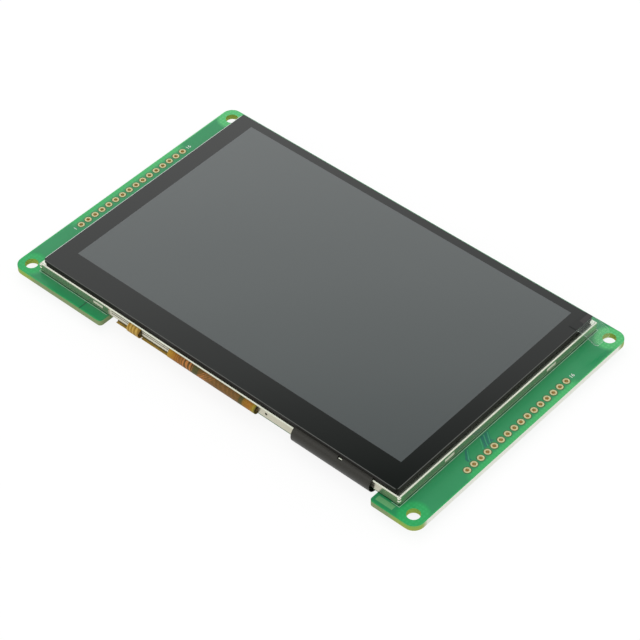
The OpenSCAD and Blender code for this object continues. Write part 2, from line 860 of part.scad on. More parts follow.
// Square standing on its corner, which takes the chamfer off an edge
module chamfer_cut(across, height) {
    translate([across, height])
        rotate(45)
            square(cover_chamfer * sqrt(2), center = true);
}

// Touch flex: bonded to the sensor, folded round the front of display and board, and led under it
module touch_flex() {
    tail_high = touch_mouth_top - flex_thickness;
    color(plastic_black)
        difference() {
            union() {
                along_x(touch_flex_left, touch_flex_right) {
                    flat_profile(touch_bend_y, touch_bond_back, sensor_top);
                    fold_profile(touch_bend_y, touch_run_bottom, touch_top);
                    flat_profile(touch_bend_y, touch_run_back, touch_run_bottom);
                }
                along_x(touch_tail_left, touch_tail_right) {
                    slope_profile([touch_run_back, touch_run_bottom], [touch_mouth_y - 1, tail_high]);
                    flat_profile(touch_mouth_y - 1, touch_mouth_y + touch_pocket_depth, tail_high);
                }
            }
            plate(
                [touch_slit_left, cover_box[1] - 3, touch_slit_left + touch_slit_width, touch_bend_y + 1],
                frame_top, cover_top
            );
        }
}

// Touch controller chip on the outer face of the touch flex
module touch_controller() {
    x = (touch_flex_left + touch_slit_left) / 2;
    y = touch_bend_y + 0.6 + touch_chip_side / 2;
    color(plastic_black)
        translate([x - touch_chip_side / 2, y - touch_chip_side / 2, touch_run_bottom - touch_chip_height])
            cube([touch_chip_side, touch_chip_side, touch_chip_height]);
}

// Clear tab, stuck flat at the back right corner of the glass and curling down past its edge
module pull_tab() {
    start = cover_box[2] - tab_stuck_length;
    end = cover_box[2] + tab_free_length;
    back = cover_box[3] - 0.1;
    front = back - tab_width;
    edge = cover_box[2] + 0.2;
    color([0.9, 0.95, 0.95, 0.4])
        intersection() {
            translate([0, 0, board_top])
                linear_extrude(cover_top)
                    union() {
                        round_outline([start + 1, front, end, back], tab_corner);
                        outline([start, front, start + 3 * tab_corner, back]);
                    }
            along_y(front - cut, back + cut)
                union() {
                    translate([start, cover_top])
                        square([edge - start, tab_thickness]);
                    translate([edge, cover_top - tab_curl_radius])
                        difference() {
                            circle(r = tab_curl_radius + tab_thickness);
                            circle(r = tab_curl_radius);
                            translate([-3 * tab_curl_radius, -2 * tab_curl_radius])
                                square([3 * tab_curl_radius, 4 * tab_curl_radius]);
                        }
                }
        }
}

// Everything below hangs from the board's underside. Depths are measured down from it.
body_lift = 0.1;
terminal_metal = 0.15;
controller_place = [4, 3];
crystal_place = [21, 6];
inductor_places = [[-42, -14], [-42, 22]];
converter_places = [[-34, -12], [-34, 24]];
diode_places = [[-35, -18], [-35, 18]];
regulator_place = [36, 20];
bulk_places = [[45, 26], [45, 14]];
ceramic_places = [
    [-42, -20.5], [-29, -12], [-42, 15.5], [-29, 24], [40, 27], [40, 13],
    [-10, 6], [-10, 0], [18, -2], [4, 16], [4, -10], [30, -16]
];
resistor_places = [
    [-29, -16], [-29, 20], [-34, -7.5], [-34, 28.5], [-12, 12], [-12, -6], [18, 12],
    [28, 2], [28, -1], [50, -14], [-2, 16], [10, 16], [31, -20]
];

// Block below the board, centred on a place
module hung_block(place, size, top = 0) {
    translate([place[0] - size[0] / 2, place[1] - size[1] / 2, board_bottom - top - size[2]])
        cube(size);
}

// Chip body below the board with its four upright corners bevelled
module chip_body(place, side_x, side_y, top, height) {
    bevel = 0.35;
    translate([place[0], place[1], board_bottom - top - height])
        linear_extrude(height)
            polygon([
                [-side_x / 2 + bevel, -side_y / 2], [side_x / 2 - bevel, -side_y / 2],
                [side_x / 2, -side_y / 2 + bevel], [side_x / 2, side_y / 2 - bevel],
                [side_x / 2 - bevel, side_y / 2], [-side_x / 2 + bevel, side_y / 2],
                [-side_x / 2, side_y / 2 - bevel], [-side_x / 2, -side_y / 2 + bevel]
            ]);
}

// Gull-wing lead that leaves a body at +Y and lands on the board
module gull_lead(width, reach, level) {
    metal = 0.15;
    foot = reach * 0.5;
    translate([-width / 2, 0, 0])
        rotate([90, 0, 90])
            linear_extrude(width)
                polygon([
                    [0, -level], [reach - foot, -level], [reach - foot + metal, 0], [reach, 0],
                    [reach, -metal], [reach - foot + 1.4 * metal, -metal],
                    [reach - foot + 0.6 * metal, -level - metal], [0, -level - metal]
                ]);
}

module display_controller() {
    color(plastic_black)
        chip_body(
            controller_place, controller_side, controller_side,
            body_lift, controller_height - body_lift
        );
}

module display_controller_leads() {
    width = 0.22;
    level = controller_height * 0.45;
    color(tin)
        translate([controller_place[0], controller_place[1], board_bottom])
            for (quarter = [0 : 3], i = [0 : controller_leads_per_side - 1])
                rotate(90 * quarter)
                    translate([
                        (i - (controller_leads_per_side - 1) / 2) * controller_lead_pitch,
                        controller_side / 2, 0
                    ])
                        gull_lead(width, controller_span_margin, level);
}

module crystal_base() {
    color("ivory")
        hung_block(crystal_place, [crystal_length, crystal_width, crystal_base_height]);
}

module crystal_lid() {
    color(steel)
        hung_block(
            crystal_place,
            [crystal_length - 0.5, crystal_width - 0.5, crystal_lid_height], crystal_base_height
        );
}

// Shielded inductors: square ferrite body with bevelled corners
module power_inductors() {
    color("dimgray")
        for (place = inductor_places)
            chip_body(place, inductor_side, inductor_side, body_lift, rest_height - body_lift);
}

module inductor_terminals() {
    reach = 0.15;
    color(tin)
        for (place = inductor_places, side = [-1, 1])
            hung_block(
                [place[0] + side * (inductor_side / 2 - 0.6), place[1]],
                [1.2, inductor_side + 2 * reach, body_lift]
            );
}

module boost_converters() {
    color(plastic_black)
        for (place = converter_places)
            hung_block(place, [converter_length, converter_width, converter_height], body_lift);
}

module voltage_regulator() {
    color(plastic_black)
        hung_block(regulator_place, [regulator_length, regulator_width, regulator_height], body_lift);
}

// Leads of the boost converters, three on each side, and of the regulator, three and a wide tab
module small_chip_leads() {
    color(tin) {
        for (place = converter_places, side = [0, 1], i = [-1 : 1])
            translate([place[0], place[1], board_bottom])
                rotate(180 * side)
                    translate([converter_length * i / 3, converter_width / 2, 0])
                        gull_lead(0.4, 0.6, converter_height / 2);
        translate([regulator_place[0], regulator_place[1], board_bottom]) {
            for (i = [-1 : 1])
                rotate(180)
                    translate([regulator_length * i / 3, regulator_width / 2, 0])
                        gull_lead(0.7, regulator_width / 2, regulator_height / 2);
            translate([0, regulator_width / 2, 0])
                gull_lead(regulator_length / 2, regulator_width / 2, regulator_height / 2);
        }
    }
}

module rectifier_diodes() {
    color(plastic_black)
        for (place = diode_places)
            hung_block(place, [diode_length, diode_width, diode_height], terminal_metal);
}

module diode_terminals() {
    color(tin)
        for (place = diode_places, side = [-1, 1])
            hung_block(
                [place[0] + side * (diode_length - 0.4) / 2, place[1]],
                [1.3, diode_width * 0.6, terminal_metal]
            );
}

module bulk_capacitors() {
    color("goldenrod")
        for (place = bulk_places)
            hung_block(place, [bulk_length, bulk_width, rest_height - terminal_metal], terminal_metal);
}

module bulk_capacitor_terminals() {
    color(tin)
        for (place = bulk_places, side = [-1, 1])
            hung_block(
                [place[0] + side * bulk_length * 0.4, place[1]],
                [0.8, bulk_width * 0.8, terminal_metal]
            );
}

// Chip parts lie along X: a body between two metal end caps
module chip_parts(places, length, width, height) {
    for (place = places)
        hung_block(place, [length * 0.6, width, height]);
}

module chip_end_caps(places, length, width, height) {
    cap = length * 0.2;
    for (place = places, side = [-1, 1])
        hung_block([place[0] + side * (length - cap) / 2, place[1]], [cap, width, height]);
}

module ceramic_capacitors() {
    color("tan")
        chip_parts(ceramic_places, ceramic_length, ceramic_width, ceramic_height);
}

module capacitor_end_caps() {
    color(tin)
        chip_end_caps(ceramic_places, ceramic_length, ceramic_width, ceramic_height);
}

module chip_resistors() {
    color(plastic_black)
        chip_parts(resistor_places, resistor_length, resistor_width, resistor_height);
}

module resistor_end_caps() {
    color(tin)
        chip_end_caps(resistor_places, resistor_length, resistor_width, resistor_height);
}

// Push-in connector without a lock: a housing with a mouth that the touch flex's tail enters
module touch_connector_housing() {
    half = touch_tail_width / 2 + touch_housing_side;
    mouth = touch_tail_width / 2 + 0.15;
    back = touch_mouth_y + touch_housing_depth;
    color("ivory")
        difference() {
            plate([touch_tail_x - half, touch_mouth_y, touch_tail_x + half, back], 0, board_bottom);
            plate(
                [
                    touch_tail_x - mouth, touch_mouth_y - cut,
                    touch_tail_x + mouth, touch_mouth_y + touch_pocket_depth + 0.1
                ],
                touch_mouth_top - flex_thickness - 0.02, touch_mouth_top + 0.3
            );
            for (i = [0 : touch_contact_count - 1])
                translate([touch_contact_x(i) - 0.15, touch_mouth_y - cut, touch_mouth_top])
                    cube([0.3, touch_housing_depth + 2 * cut, 0.3]);
        }
}

function touch_contact_x(i) = touch_tail_x + (i - (touch_contact_count - 1) / 2) * touch_contact_pitch;

// Contact strips that press on the tail in the mouth and come out behind as solder feet
module touch_connector_contacts() {
    width = 0.25;
    metal = 0.2;
    back = touch_mouth_y + touch_housing_depth;
    color("gold")
        for (i = [0 : touch_contact_count - 1])
            along_x(touch_contact_x(i) - width / 2, touch_contact_x(i) + width / 2)
                polygon([
                    [touch_mouth_y + 0.4, touch_mouth_top], [back + 0.5, touch_mouth_top],
                    [back + 0.5, board_bottom - metal], [back + 1.5, board_bottom - metal],
                    [back + 1.5, board_bottom], [back + 0.3, board_bottom],
                    [back + 0.3, touch_mouth_top + metal], [touch_mouth_y + 0.4, touch_mouth_top + metal]
                ]);
}

// Solder joints at the end of the main flex, one to each contact
module main_flex_solder() {
    width = 0.3;
    color(tin)
        for (i = [0 : main_contact_count - 1])
            along_x(contact_x(i) - width / 2, contact_x(i) + width / 2)
                polygon([
                    [main_tail_end, board_bottom], [main_tail_end, tail_bottom],
                    [main_tail_end + 0.9, board_bottom]
                ]);
}

function contact_x(i) = main_x + (i - (main_contact_count - 1) / 2) * main_contact_pitch;

// Two solder pads that join the backlight flex to the wide part of the main flex
module backlight_solder() {
    color(tin)
        for (side = [-1, 1])
            translate([backlight_x + side * 1.0 - 0.6, backlight_tail_end, backlight_run_bottom])
                cube([1.2, 1.0, main_run_bottom - backlight_run_bottom]);
}

circuit_board();
left_header_barrels();
right_header_barrels();
mounting_tape();
metal_frame();
mould_frame();
reflector_sheet();
light_guide();
backlight_leds();
backlight_flex();
diffuser_sheet();
lower_prism_sheet();
upper_prism_sheet();
light_shield_tape();
rear_polariser();
tft_glass();
colour_filter_glass();
front_polariser();
driver_chips();
main_flex();
gasket_tape();
touch_sensor();
optical_adhesive();
border_print();
cover_glass();
touch_flex();
touch_controller();
pull_tab();
display_controller();
display_controller_leads();
crystal_base();
crystal_lid();
power_inductors();
inductor_terminals();
boost_converters();
voltage_regulator();
small_chip_leads();
rectifier_diodes();
diode_terminals();
bulk_capacitors();
bulk_capacitor_terminals();
ceramic_capacitors();
capacitor_end_caps();
chip_resistors();
resistor_end_caps();
touch_connector_housing();
touch_connector_contacts();
main_flex_solder();
backlight_solder();
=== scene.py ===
import math

import bpy
import numpy as np
from mathutils import Matrix, Vector


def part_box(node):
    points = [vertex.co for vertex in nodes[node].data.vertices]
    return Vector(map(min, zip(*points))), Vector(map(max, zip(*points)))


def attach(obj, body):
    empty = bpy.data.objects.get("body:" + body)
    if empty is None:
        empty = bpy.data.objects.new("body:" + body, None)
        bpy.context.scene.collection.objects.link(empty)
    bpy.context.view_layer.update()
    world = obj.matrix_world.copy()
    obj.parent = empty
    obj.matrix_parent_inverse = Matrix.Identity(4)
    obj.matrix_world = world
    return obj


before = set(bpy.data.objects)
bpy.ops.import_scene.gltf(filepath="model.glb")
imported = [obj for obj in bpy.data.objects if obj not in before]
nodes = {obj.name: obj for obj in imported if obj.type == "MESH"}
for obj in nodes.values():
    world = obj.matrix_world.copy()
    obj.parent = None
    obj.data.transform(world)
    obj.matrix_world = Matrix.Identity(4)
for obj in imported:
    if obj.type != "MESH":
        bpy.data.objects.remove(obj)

MM = 0.001
scene = bpy.context.scene
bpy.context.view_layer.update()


def corners(name):
    """Lowest and highest corner of a node in mm."""
    return [[v / MM for v in corner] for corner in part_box(name)]


# Places that the pieces and the finishes share, in mm.
(_, _, BOARD_LOW), (HALF_X, HALF_Y, BOARD_TOP) = corners("circuit_board")
PITCH = 2.54
PINS = 16
ROW_END = (PINS - 1) / 2 * PITCH
HEADER_X = sum(corner[0] for corner in corners("right_header_barrels")) / 2
PADS = [(side * HEADER_X, (i - (PINS - 1) / 2) * PITCH) for side in (-1, 1) for i in range(PINS)]
HOLE_INSET = 3.5
HOLES = [
    (side * (HALF_X - HOLE_INSET), end * (HALF_Y - HOLE_INSET)) for side in (-1, 1) for end in (-1, 1)]
(FRAME_LEFT, FRAME_FRONT, FRAME_LOW), (FRAME_RIGHT, FRAME_BACK, FRAME_TOP) = corners("metal_frame")
(COVER_LEFT, COVER_FRONT, _), (COVER_RIGHT, COVER_BACK, COVER_TOP) = corners("cover_glass")
# Widths of the printed border at the left, front, right and back of the glass.
BORDER = (5.25, 7.25, 4.85, 2.55)
WINDOW = (
    COVER_LEFT + BORDER[0], COVER_FRONT + BORDER[1], COVER_RIGHT - BORDER[2], COVER_BACK - BORDER[3])


# ---------------- camera, light and floor

CAMERA_AZIMUTH = 42.703
CAMERA_ELEVATION = 45.24
CAMERA_ROLL = -1.38
CAMERA_PLACE = (1.195, -5.034, 606.948)
CAMERA_LENS = 135.07


def set_camera():
    """A long lens from the front right, looking down on the board."""
    turn, rise, roll = (math.radians(a) for a in (CAMERA_AZIMUTH, CAMERA_ELEVATION, CAMERA_ROLL))
    back = Vector((math.sin(turn) * math.cos(rise), -math.cos(turn) * math.cos(rise), math.sin(rise)))
    level = Vector((math.cos(turn), math.sin(turn), 0))
    upward = back.cross(level)
    right = math.cos(roll) * level + math.sin(roll) * upward
    up = math.cos(roll) * upward - math.sin(roll) * level
    axes = Matrix((right, up, back)).transposed()
    place = axes @ Vector(CAMERA_PLACE) + Vector((0, 0, BOARD_TOP))
    camera = bpy.data.objects.new("camera", bpy.data.cameras.new("camera"))
    camera.data.lens = CAMERA_LENS
    camera.matrix_world = Matrix.Translation(place * MM) @ axes.to_4x4()
    scene.collection.objects.link(camera)
    scene.camera = camera


def colour(code):
    """Linear RGBA of an sRGB hex value such as #3a8f5c."""
    parts = [int(code[i:i + 2], 16) / 255 for i in (1, 3, 5)]
    return tuple(c / 12.92 if c <= 0.04045 else ((c + 0.055) / 1.055) ** 2.4 for c in parts) + (1.0,)


def add(tree, kind, inputs=None, **settings):
    """A new node with its settings. Each input, by name or place, takes a value, a colour code,
    a socket, or a node for its first output."""
    node = tree.nodes.new("ShaderNode" + kind)
    for name, value in settings.items():
        setattr(node, name, value)
    for name, value in (inputs or {}).items():
        socket = node.inputs[name] if isinstance(name, int) else next(
            s for s in node.inputs if s.name == name and s.enabled)
        if isinstance(value, bpy.types.Node):
            value = next(s for s in value.outputs if s.enabled)
        if isinstance(value, bpy.types.NodeSocket):
            tree.links.new(value, socket)
        else:
            socket.default_value = colour(value) if isinstance(value, str) else value
    return node


def set_stops(ramp, stops):
    """Gives a colour ramp its stops, each a place from 0 to 1 and a colour."""
    elements = ramp.color_ramp.elements
    while len(elements) < len(stops):
        elements.new(1.0)
    for element, (place, tint) in zip(elements, stops):
        element.position = place
        element.color = colour(tint) if isinstance(tint, str) else tint
    return ramp


def new_material(name):
    """An empty node material, its tree, and the point of the surface in the object's own frame."""
    material = bpy.data.materials.new(name)
    material.use_nodes = True
    tree = material.node_tree
    tree.nodes.clear()
    return material, tree, add(tree, "TexCoord").outputs["Object"]


def close_material(material, tree, shader):
    """Sends the shader to the surface, and returns the finished material."""
    add(tree, "OutputMaterial", {"Surface": shader})
    return material


# Brightness of the studio in reflections, by the elevation of the reflected ray in degrees:
# a wide soft box that reaches halfway up, with a dark ceiling above it.
REFLECTED = [
    (0, 0.6), (22, 0.95), (34, 1.44), (40.5, 1.44), (42, 1.29), (43.3, 1.14), (44.3, 1.06),
    (45.4, 0.87), (46.4, 0.72), (47.4, 0.50), (48.4, 0.33), (49.2, 0.17), (54, 0.12), (60, 0.85),
    (74, 0.85), (90, 0.5)]
REFLECTED_PEAK = 1.5
EVEN_LIGHT = 0.95
TABLE_GLOW = 0.88
TABLE_TONES = (0.12, 0.125)
TABLE_GRAIN = 40.0


def set_studio():
    """White to the camera, even soft light on surfaces, and a graded soft box in reflections."""
    world = bpy.data.worlds.new("studio")
    world.use_nodes = True
    tree = world.node_tree
    tree.nodes.clear()
    rays = add(tree, "LightPath")
    height = add(tree, "SeparateXYZ", {0: add(tree, "TexCoord").outputs["Generated"]})
    ramp = set_stops(add(tree, "ValToRGB", {0: height.outputs["Z"]}), [
        (math.sin(math.radians(angle)), (value / REFLECTED_PEAK,) * 3 + (1.0,))
        for angle, value in REFLECTED
    ])
    even = add(tree, "Background", {"Color": "#ffffff", "Strength": EVEN_LIGHT})
    graded = add(tree, "Background", {"Color": ramp, "Strength": REFLECTED_PEAK})
    plain = add(tree, "Background", {"Color": "#ffffff", "Strength": 1.0})
    lit = add(tree, "MixShader", {0: rays.outputs["Is Glossy Ray"], 1: even, 2: graded})
    seen = add(tree, "MixShader", {0: rays.outputs["Is Camera Ray"], 1: lit, 2: plain})
    add(tree, "OutputWorld", {"Surface": seen})
    scene.world = world


def add_lamp(name, place, size, power):
    """A square soft box that lights surfaces and stays out of reflections."""
    lamp = bpy.data.objects.new(name, bpy.data.lights.new(name, "AREA"))
    lamp.data.size = size
    lamp.data.energy = power
    lamp.location = place
    lamp.rotation_euler = Vector(place).to_track_quat("Z", "Y").to_euler()
    lamp.visible_glossy = False
    scene.collection.objects.link(lamp)


def add_floor():
    """Pale table that keeps the object's shadow and runs into the white background."""
    bpy.ops.mesh.primitive_plane_add(size=6.0)
    floor = bpy.context.object
    floor.name = "floor"
    material, tree, place = new_material("white_table")
    rays = add(tree, "LightPath")
    grain = add(tree, "TexNoise", {"Vector": place, "Scale": TABLE_GRAIN})
    matt = set_stops(add(tree, "ValToRGB", {0: grain}), [
        (end, (tone,) * 3 + (1,)) for end, tone in enumerate(TABLE_TONES)])
    shown = add(tree, "AddShader", {
        0: add(tree, "BsdfDiffuse", {"Color": matt}),
        1: add(tree, "Emission", {"Color": "#ffffff", "Strength": TABLE_GLOW})})
    bounced = add(tree, "BsdfDiffuse", {"Color": "#d8d8d8"})
    seen = rays.outputs["Is Camera Ray"]
    for ray in ("Is Glossy Ray", "Is Transmission Ray"):
        seen = add(tree, "Math", {0: seen, 1: rays.outputs[ray]}, operation="MAXIMUM")
    shader = add(tree, "MixShader", {0: seen, 1: bounced, 2: shown})
    floor.data.materials.append(close_material(material, tree, shader))


# ---------------- finishes

def per_mm(steps):
    """Scale of a pattern from its steps per mm: one number for every way, or one for each axis."""
    return tuple(s / MM for s in (steps if isinstance(steps, tuple) else (steps,) * 3))


def in_box(tree, place, low_x, low_y, high_x, high_y):
    """1 within a rectangle given in mm, else 0."""
    middle = ((low_x + high_x) / 2 * MM, (low_y + high_y) / 2 * MM, 0)
    half = ((high_x - low_x) / 2 * MM, (high_y - low_y) / 2 * MM, 1)
    away = add(tree, "VectorMath", {0: place, 1: middle}, operation="SUBTRACT")
    away = add(tree, "VectorMath", {0: away}, operation="ABSOLUTE")
    away = add(tree, "VectorMath", {0: away, 1: half}, operation="DIVIDE")
    parts = add(tree, "SeparateXYZ", {0: away})
    most = add(tree, "Math", {0: parts.outputs["X"], 1: parts.outputs["Y"]}, operation="MAXIMUM")
    return add(tree, "Math", {0: most, 1: 1.0}, operation="LESS_THAN")


def in_discs(tree, place, centres, radius, soft):
    """1 within any of the discs round the centres (x, y in mm), falling to 0 over a soft rim."""
    total = None
    for x, y in centres:
        away = add(tree, "VectorMath", {0: place, 1: (x * MM, y * MM, 0)}, operation="DISTANCE")
        hit = add(tree, "MapRange", {
            "Value": away, "From Min": (radius + soft) * MM, "From Max": (radius - soft) * MM})
        total = add(tree, "Math", {0: total, 1: hit}, operation="MAXIMUM") if total else hit
    return total


def by_distance(tree, coordinate, start, end):
    """Rises from 0 to 1 as the distance from the board's middle line goes from start to end in mm."""
    away = add(tree, "Math", {0: coordinate}, operation="ABSOLUTE")
    return add(tree, "MapRange", {"Value": away, "From Min": start * MM, "From Max": end * MM})


def tilt_of(tree):
    """How far up a face looks: 1 on top, 0 on a wall and -1 below."""
    return add(tree, "SeparateXYZ", {0: add(tree, "NewGeometry").outputs["Normal"]}).outputs["Z"]


def on_walls(tree, limit):
    """1 where a face is so steep that its tilt either way is under the limit, else 0."""
    rise = add(tree, "Math", {0: tilt_of(tree)}, operation="ABSOLUTE")
    return add(tree, "Math", {0: rise, 1: limit}, operation="LESS_THAN")


# Radius and soft rim in mm of what shows round each mounting hole or pad.
COPPER_FREE = (3.85, 0.55)
PAD_PULLBACK = (1.14, 0.1)
# The next two give where a glow is painted on the edge and on the hole walls.
PAINTED_CORNER_GLOW = (5.0, 1.2)
HOLE_WALL = (1.9, 0.05)
# Copper-free strips at the sides: where they begin and end, from the board's middle lines.
STRIP_ACROSS = (HALF_X - 2.0, HALF_X - 0.9)
STRIP_ALONG = (21.5, 19.2)
POUR_RIM = 0.3
POUR = (POUR_RIM - HALF_X, POUR_RIM - HALF_Y, HALF_X - POUR_RIM, HALF_Y + POUR_RIM)
# The pour is split across the left tab, and a wide bar of tinned copper shows pale on the right.
POUR_SPLIT = (-43.5, -HALF_Y, -43.15, -36.2)
COPPER_BAR = (54.5, FRAME_FRONT - 2.05, 59.6, FRAME_FRONT - 0.6)
SKIN_DEPTH = 0.1
# Steps per mm that draw one wave of the cloth on each mm, because a wave is 0.314 long.
CLOTH_STEPS = 0.314
# The right edge is snapped off its panel, apart from its routed ends.
SNAPPED_DEPTH = 0.4
SNAPPED_ALONG = (HALF_Y - 2.2, HALF_Y - 4.5)
# The routed edge, layer by layer from the lower face to the upper one.
PLIES = [
    (0.0, "#4f8a48"), (0.08, "#7c8c5a"), (0.3, "#6c8654"), (0.45, "#7e9260"), (0.6, "#648852"),
    (0.75, "#6c9656"), (0.9, "#589049"), (1.0, "#3a8c4a")]


def board_laminate():
    """Woven glass and epoxy laminate, routed, under sprayed and cured green solder mask. The mask
    is smooth and glossy: deep green over the copper pour, clear bright green where there is no
    copper below it, and darkest where it is pulled back round the pads. The routed edge shows the
    resin in yellow-green layers, and the right edge was snapped off its panel and left pale."""
    material, tree, place = new_material("green_mask_on_glass_epoxy")
    flat = add(tree, "VectorMath", {0: place, 1: (1, 1, 0)}, operation="MULTIPLY")
    x, y, z = add(tree, "SeparateXYZ", {0: place}).outputs
    # No copper near the mounting holes, in two long strips at the sides, or at the very edge.
    holes = in_discs(tree, flat, HOLES, *COPPER_FREE)
    strips = add(tree, "Math", {
        0: by_distance(tree, x, *STRIP_ACROSS),
        1: by_distance(tree, y, *STRIP_ALONG)}, operation="MULTIPLY")
    edge = add(tree, "Math", {0: 1.0, 1: in_box(tree, flat, *POUR)}, operation="SUBTRACT")
    bare = add(tree, "Math", {0: holes, 1: strips}, operation="MAXIMUM")
    bare = add(tree, "Math", {0: bare, 1: edge}, operation="MAXIMUM")
    upper = add(tree, "Math", {0: z, 1: (BOARD_TOP - SKIN_DEPTH) * MM}, operation="GREATER_THAN")
    split, bar = (
        add(tree, "Math", {0: in_box(tree, flat, *box), 1: upper}, operation="MULTIPLY")
        for box in (POUR_SPLIT, COPPER_BAR))
    # Warp and weft of the glass cloth, 0.5 mm apart in truth, are drawn 1 mm apart so that they
    # show through the mask.
    warp, weft = (
        add(tree, "TexWave", {
            "Vector": add(tree, "Mapping", {"Vector": place, "Scale": per_mm(steps)}),
            "Scale": 1.0, "Distortion": 2.0, "Detail Scale": 3.0}, bands_direction=way)
        for way, steps in (("X", (CLOTH_STEPS, 0, 0)), ("Y", (0, CLOTH_STEPS, 0))))
    weave = add(tree, "Math", {0: warp.outputs["Fac"], 1: weft.outputs["Fac"]}, operation="MULTIPLY")
    cloud = add(tree, "TexNoise", {"Vector": place, "Scale": 0.09 / MM, "Detail": 3.0})
    # Painted light: the clear mask is painted lighter towards the back, for light that comes up through
    # the laminate.
    painted_light_to_back = add(tree, "MapRange", {"Value": y, "From Min": -HALF_Y * MM, "From Max": HALF_Y * MM})
    layer = add(tree, "MapRange", {"Value": z, "From Min": BOARD_LOW * MM, "From Max": BOARD_TOP * MM})
    fibre = add(tree, "TexNoise", {
        "Vector": add(tree, "Mapping", {"Vector": place, "Scale": per_mm((3, 3, 9))}),
        "Scale": 1.0, "Detail": 2.0})
    # Painted glow: the edge is painted a yellow-green glow round the corners, for light gathered in the
    # laminate. The walls of the mounting holes are smoother and are painted with a yellow glow from the
    # resin.
    clear, woven, pour, broken, painted_edge_glow, painted_hole_glow = (
        add(tree, "Mix", {"Factor": factor, 6: dark, 7: light}, data_type="RGBA")
        for factor, dark, light in (
            (painted_light_to_back, "#0ea253", "#46b768"), (painted_light_to_back, "#1cac60", "#5fc27a"),
            (cloud, "#14874f", "#24925a"), (fibre, "#eceede", "#fdfdf6"),
            (layer, "#a9b04a", "#7fb850"), (layer, "#c3cf62", "#8fb548")))
    clear = add(tree, "Mix", {"Factor": weave, 6: clear, 7: woven}, data_type="RGBA")
    pads = in_discs(tree, flat, PADS, *PAD_PULLBACK)
    skin = pour
    for mask, tone in ((bare, clear), (split, "#1c5a3c"), (bar, "#62a96e"), (pads, "#3c6334")):
        skin = add(tree, "Mix", {"Factor": mask, 6: skin, 7: tone}, data_type="RGBA")
    snapped = add(tree, "Math", {0: x, 1: (HALF_X - SNAPPED_DEPTH) * MM}, operation="GREATER_THAN")
    snapped = add(tree, "Math", {
        0: snapped, 1: by_distance(tree, y, *SNAPPED_ALONG)}, operation="MULTIPLY")
    # Painted glow round the corners, kept off the snapped edge.
    lit = add(tree, "Math", {
        0: in_discs(tree, flat, HOLES, *PAINTED_CORNER_GLOW), 1: snapped}, operation="SUBTRACT", use_clamp=True)
    sawn = set_stops(add(tree, "ValToRGB", {0: layer}), PLIES)
    for mask, tone in (
            (fibre, "#9aa777"), (snapped, broken), (lit, painted_edge_glow),
            (in_discs(tree, flat, HOLES, *HOLE_WALL), painted_hole_glow)):
        sawn = add(tree, "Mix", {"Factor": mask, 6: sawn, 7: tone}, data_type="RGBA")
    wall = on_walls(tree, 0.5)
    tint = add(tree, "Mix", {"Factor": wall, 6: skin, 7: sawn}, data_type="RGBA")
    rough = add(tree, "MapRange", {"Value": wall, "To Min": 0.3, "To Max": 0.75})
    orange_peel = add(tree, "TexNoise", {"Vector": place, "Scale": 0.8 / MM, "Detail": 2.0})
    sunk = add(tree, "Math", {0: bare, 1: -1.0}, operation="MULTIPLY")
    relief = add(tree, "Math", {0: orange_peel, 1: 0.12, 2: sunk}, operation="MULTIPLY_ADD")
    bump = add(tree, "Bump", {"Height": relief, "Distance": 0.03 * MM})
    return close_material(material, tree, add(tree, "BsdfPrincipled", {
        "Base Color": tint, "Roughness": rough, "IOR": 1.5, "Normal": bump}))


# Where the barrel's wall has the full tone of its painted reflection, below the board's face in mm, and
# the ring above it.
BARREL_DEEP, BARREL_RING = 0.5, 0.02


def gold_plating():
    """Immersion gold over nickel on drilled and plated copper: thin, pale and satin on the ring, and a
    deeper olive painted down the barrel's wall as a painted reflection of the wall in itself."""
    material, tree, place = new_material("immersion_gold")
    centre, half = (BOARD_TOP + BOARD_LOW) / 2 * MM, (BOARD_TOP - BOARD_LOW) / 2 * MM
    height = add(tree, "Math", {
        0: add(tree, "SeparateXYZ", {0: place}).outputs["Z"], 1: centre}, operation="SUBTRACT")
    depth = add(tree, "MapRange", {
        "Value": add(tree, "Math", {0: height}, operation="ABSOLUTE"),
        "From Min": half - BARREL_DEEP * MM, "From Max": half + BARREL_RING * MM})
    grain = add(tree, "TexNoise", {"Vector": place, "Scale": 2 / MM, "Detail": 2.0})
    ring = add(tree, "Mix", {"Factor": grain, 6: "#c3bd8c", 7: "#ddd4a2"}, data_type="RGBA")
    # Painted reflection: a deeper tone down the barrel's wall than on its ring.
    tint = add(tree, "Mix", {"Factor": depth, 6: "#dcb566", 7: ring}, data_type="RGBA")
    bump = add(tree, "Bump", {"Height": grain, "Distance": 0.004 * MM})
    return close_material(material, tree, add(tree, "BsdfPrincipled", {
        "Base Color": tint, "Metallic": 0.4, "Roughness": 0.45, "Normal": bump}))


def solid_finish(name, dark, light, rough, grain=2, depth=0.008, metallic=0.0, ior=1.5):
    """An opaque finish: two tones and two degrees of gloss that follow a grain of the given steps
    per mm, and a relief of the given depth in mm. A metal keeps its own IOR."""
    material, tree, place = new_material(name)
    noise = add(tree, "TexNoise", {
        "Vector": add(tree, "Mapping", {"Vector": place, "Scale": per_mm(grain)}),
        "Scale": 1.0, "Detail": 3.0})
    tint = add(tree, "Mix", {"Factor": noise, 6: dark, 7: light}, data_type="RGBA")
    gloss = add(tree, "MapRange", {"Value": noise, "To Min": rough * 0.8, "To Max": rough * 1.2})
    bump = add(tree, "Bump", {"Height": noise, "Distance": depth * MM})
    inputs = {"Base Color": tint, "Metallic": metallic, "Roughness": gloss, "Normal": bump}
    if not metallic:
        inputs["IOR"] = ior
    return close_material(material, tree, add(tree, "BsdfPrincipled", inputs))


# Heights above the frame's foot in mm between which its painted shadow ends.
FOOT_SHADOW_END, FOOT_SHADOW_FULL = 0.34, 0.2


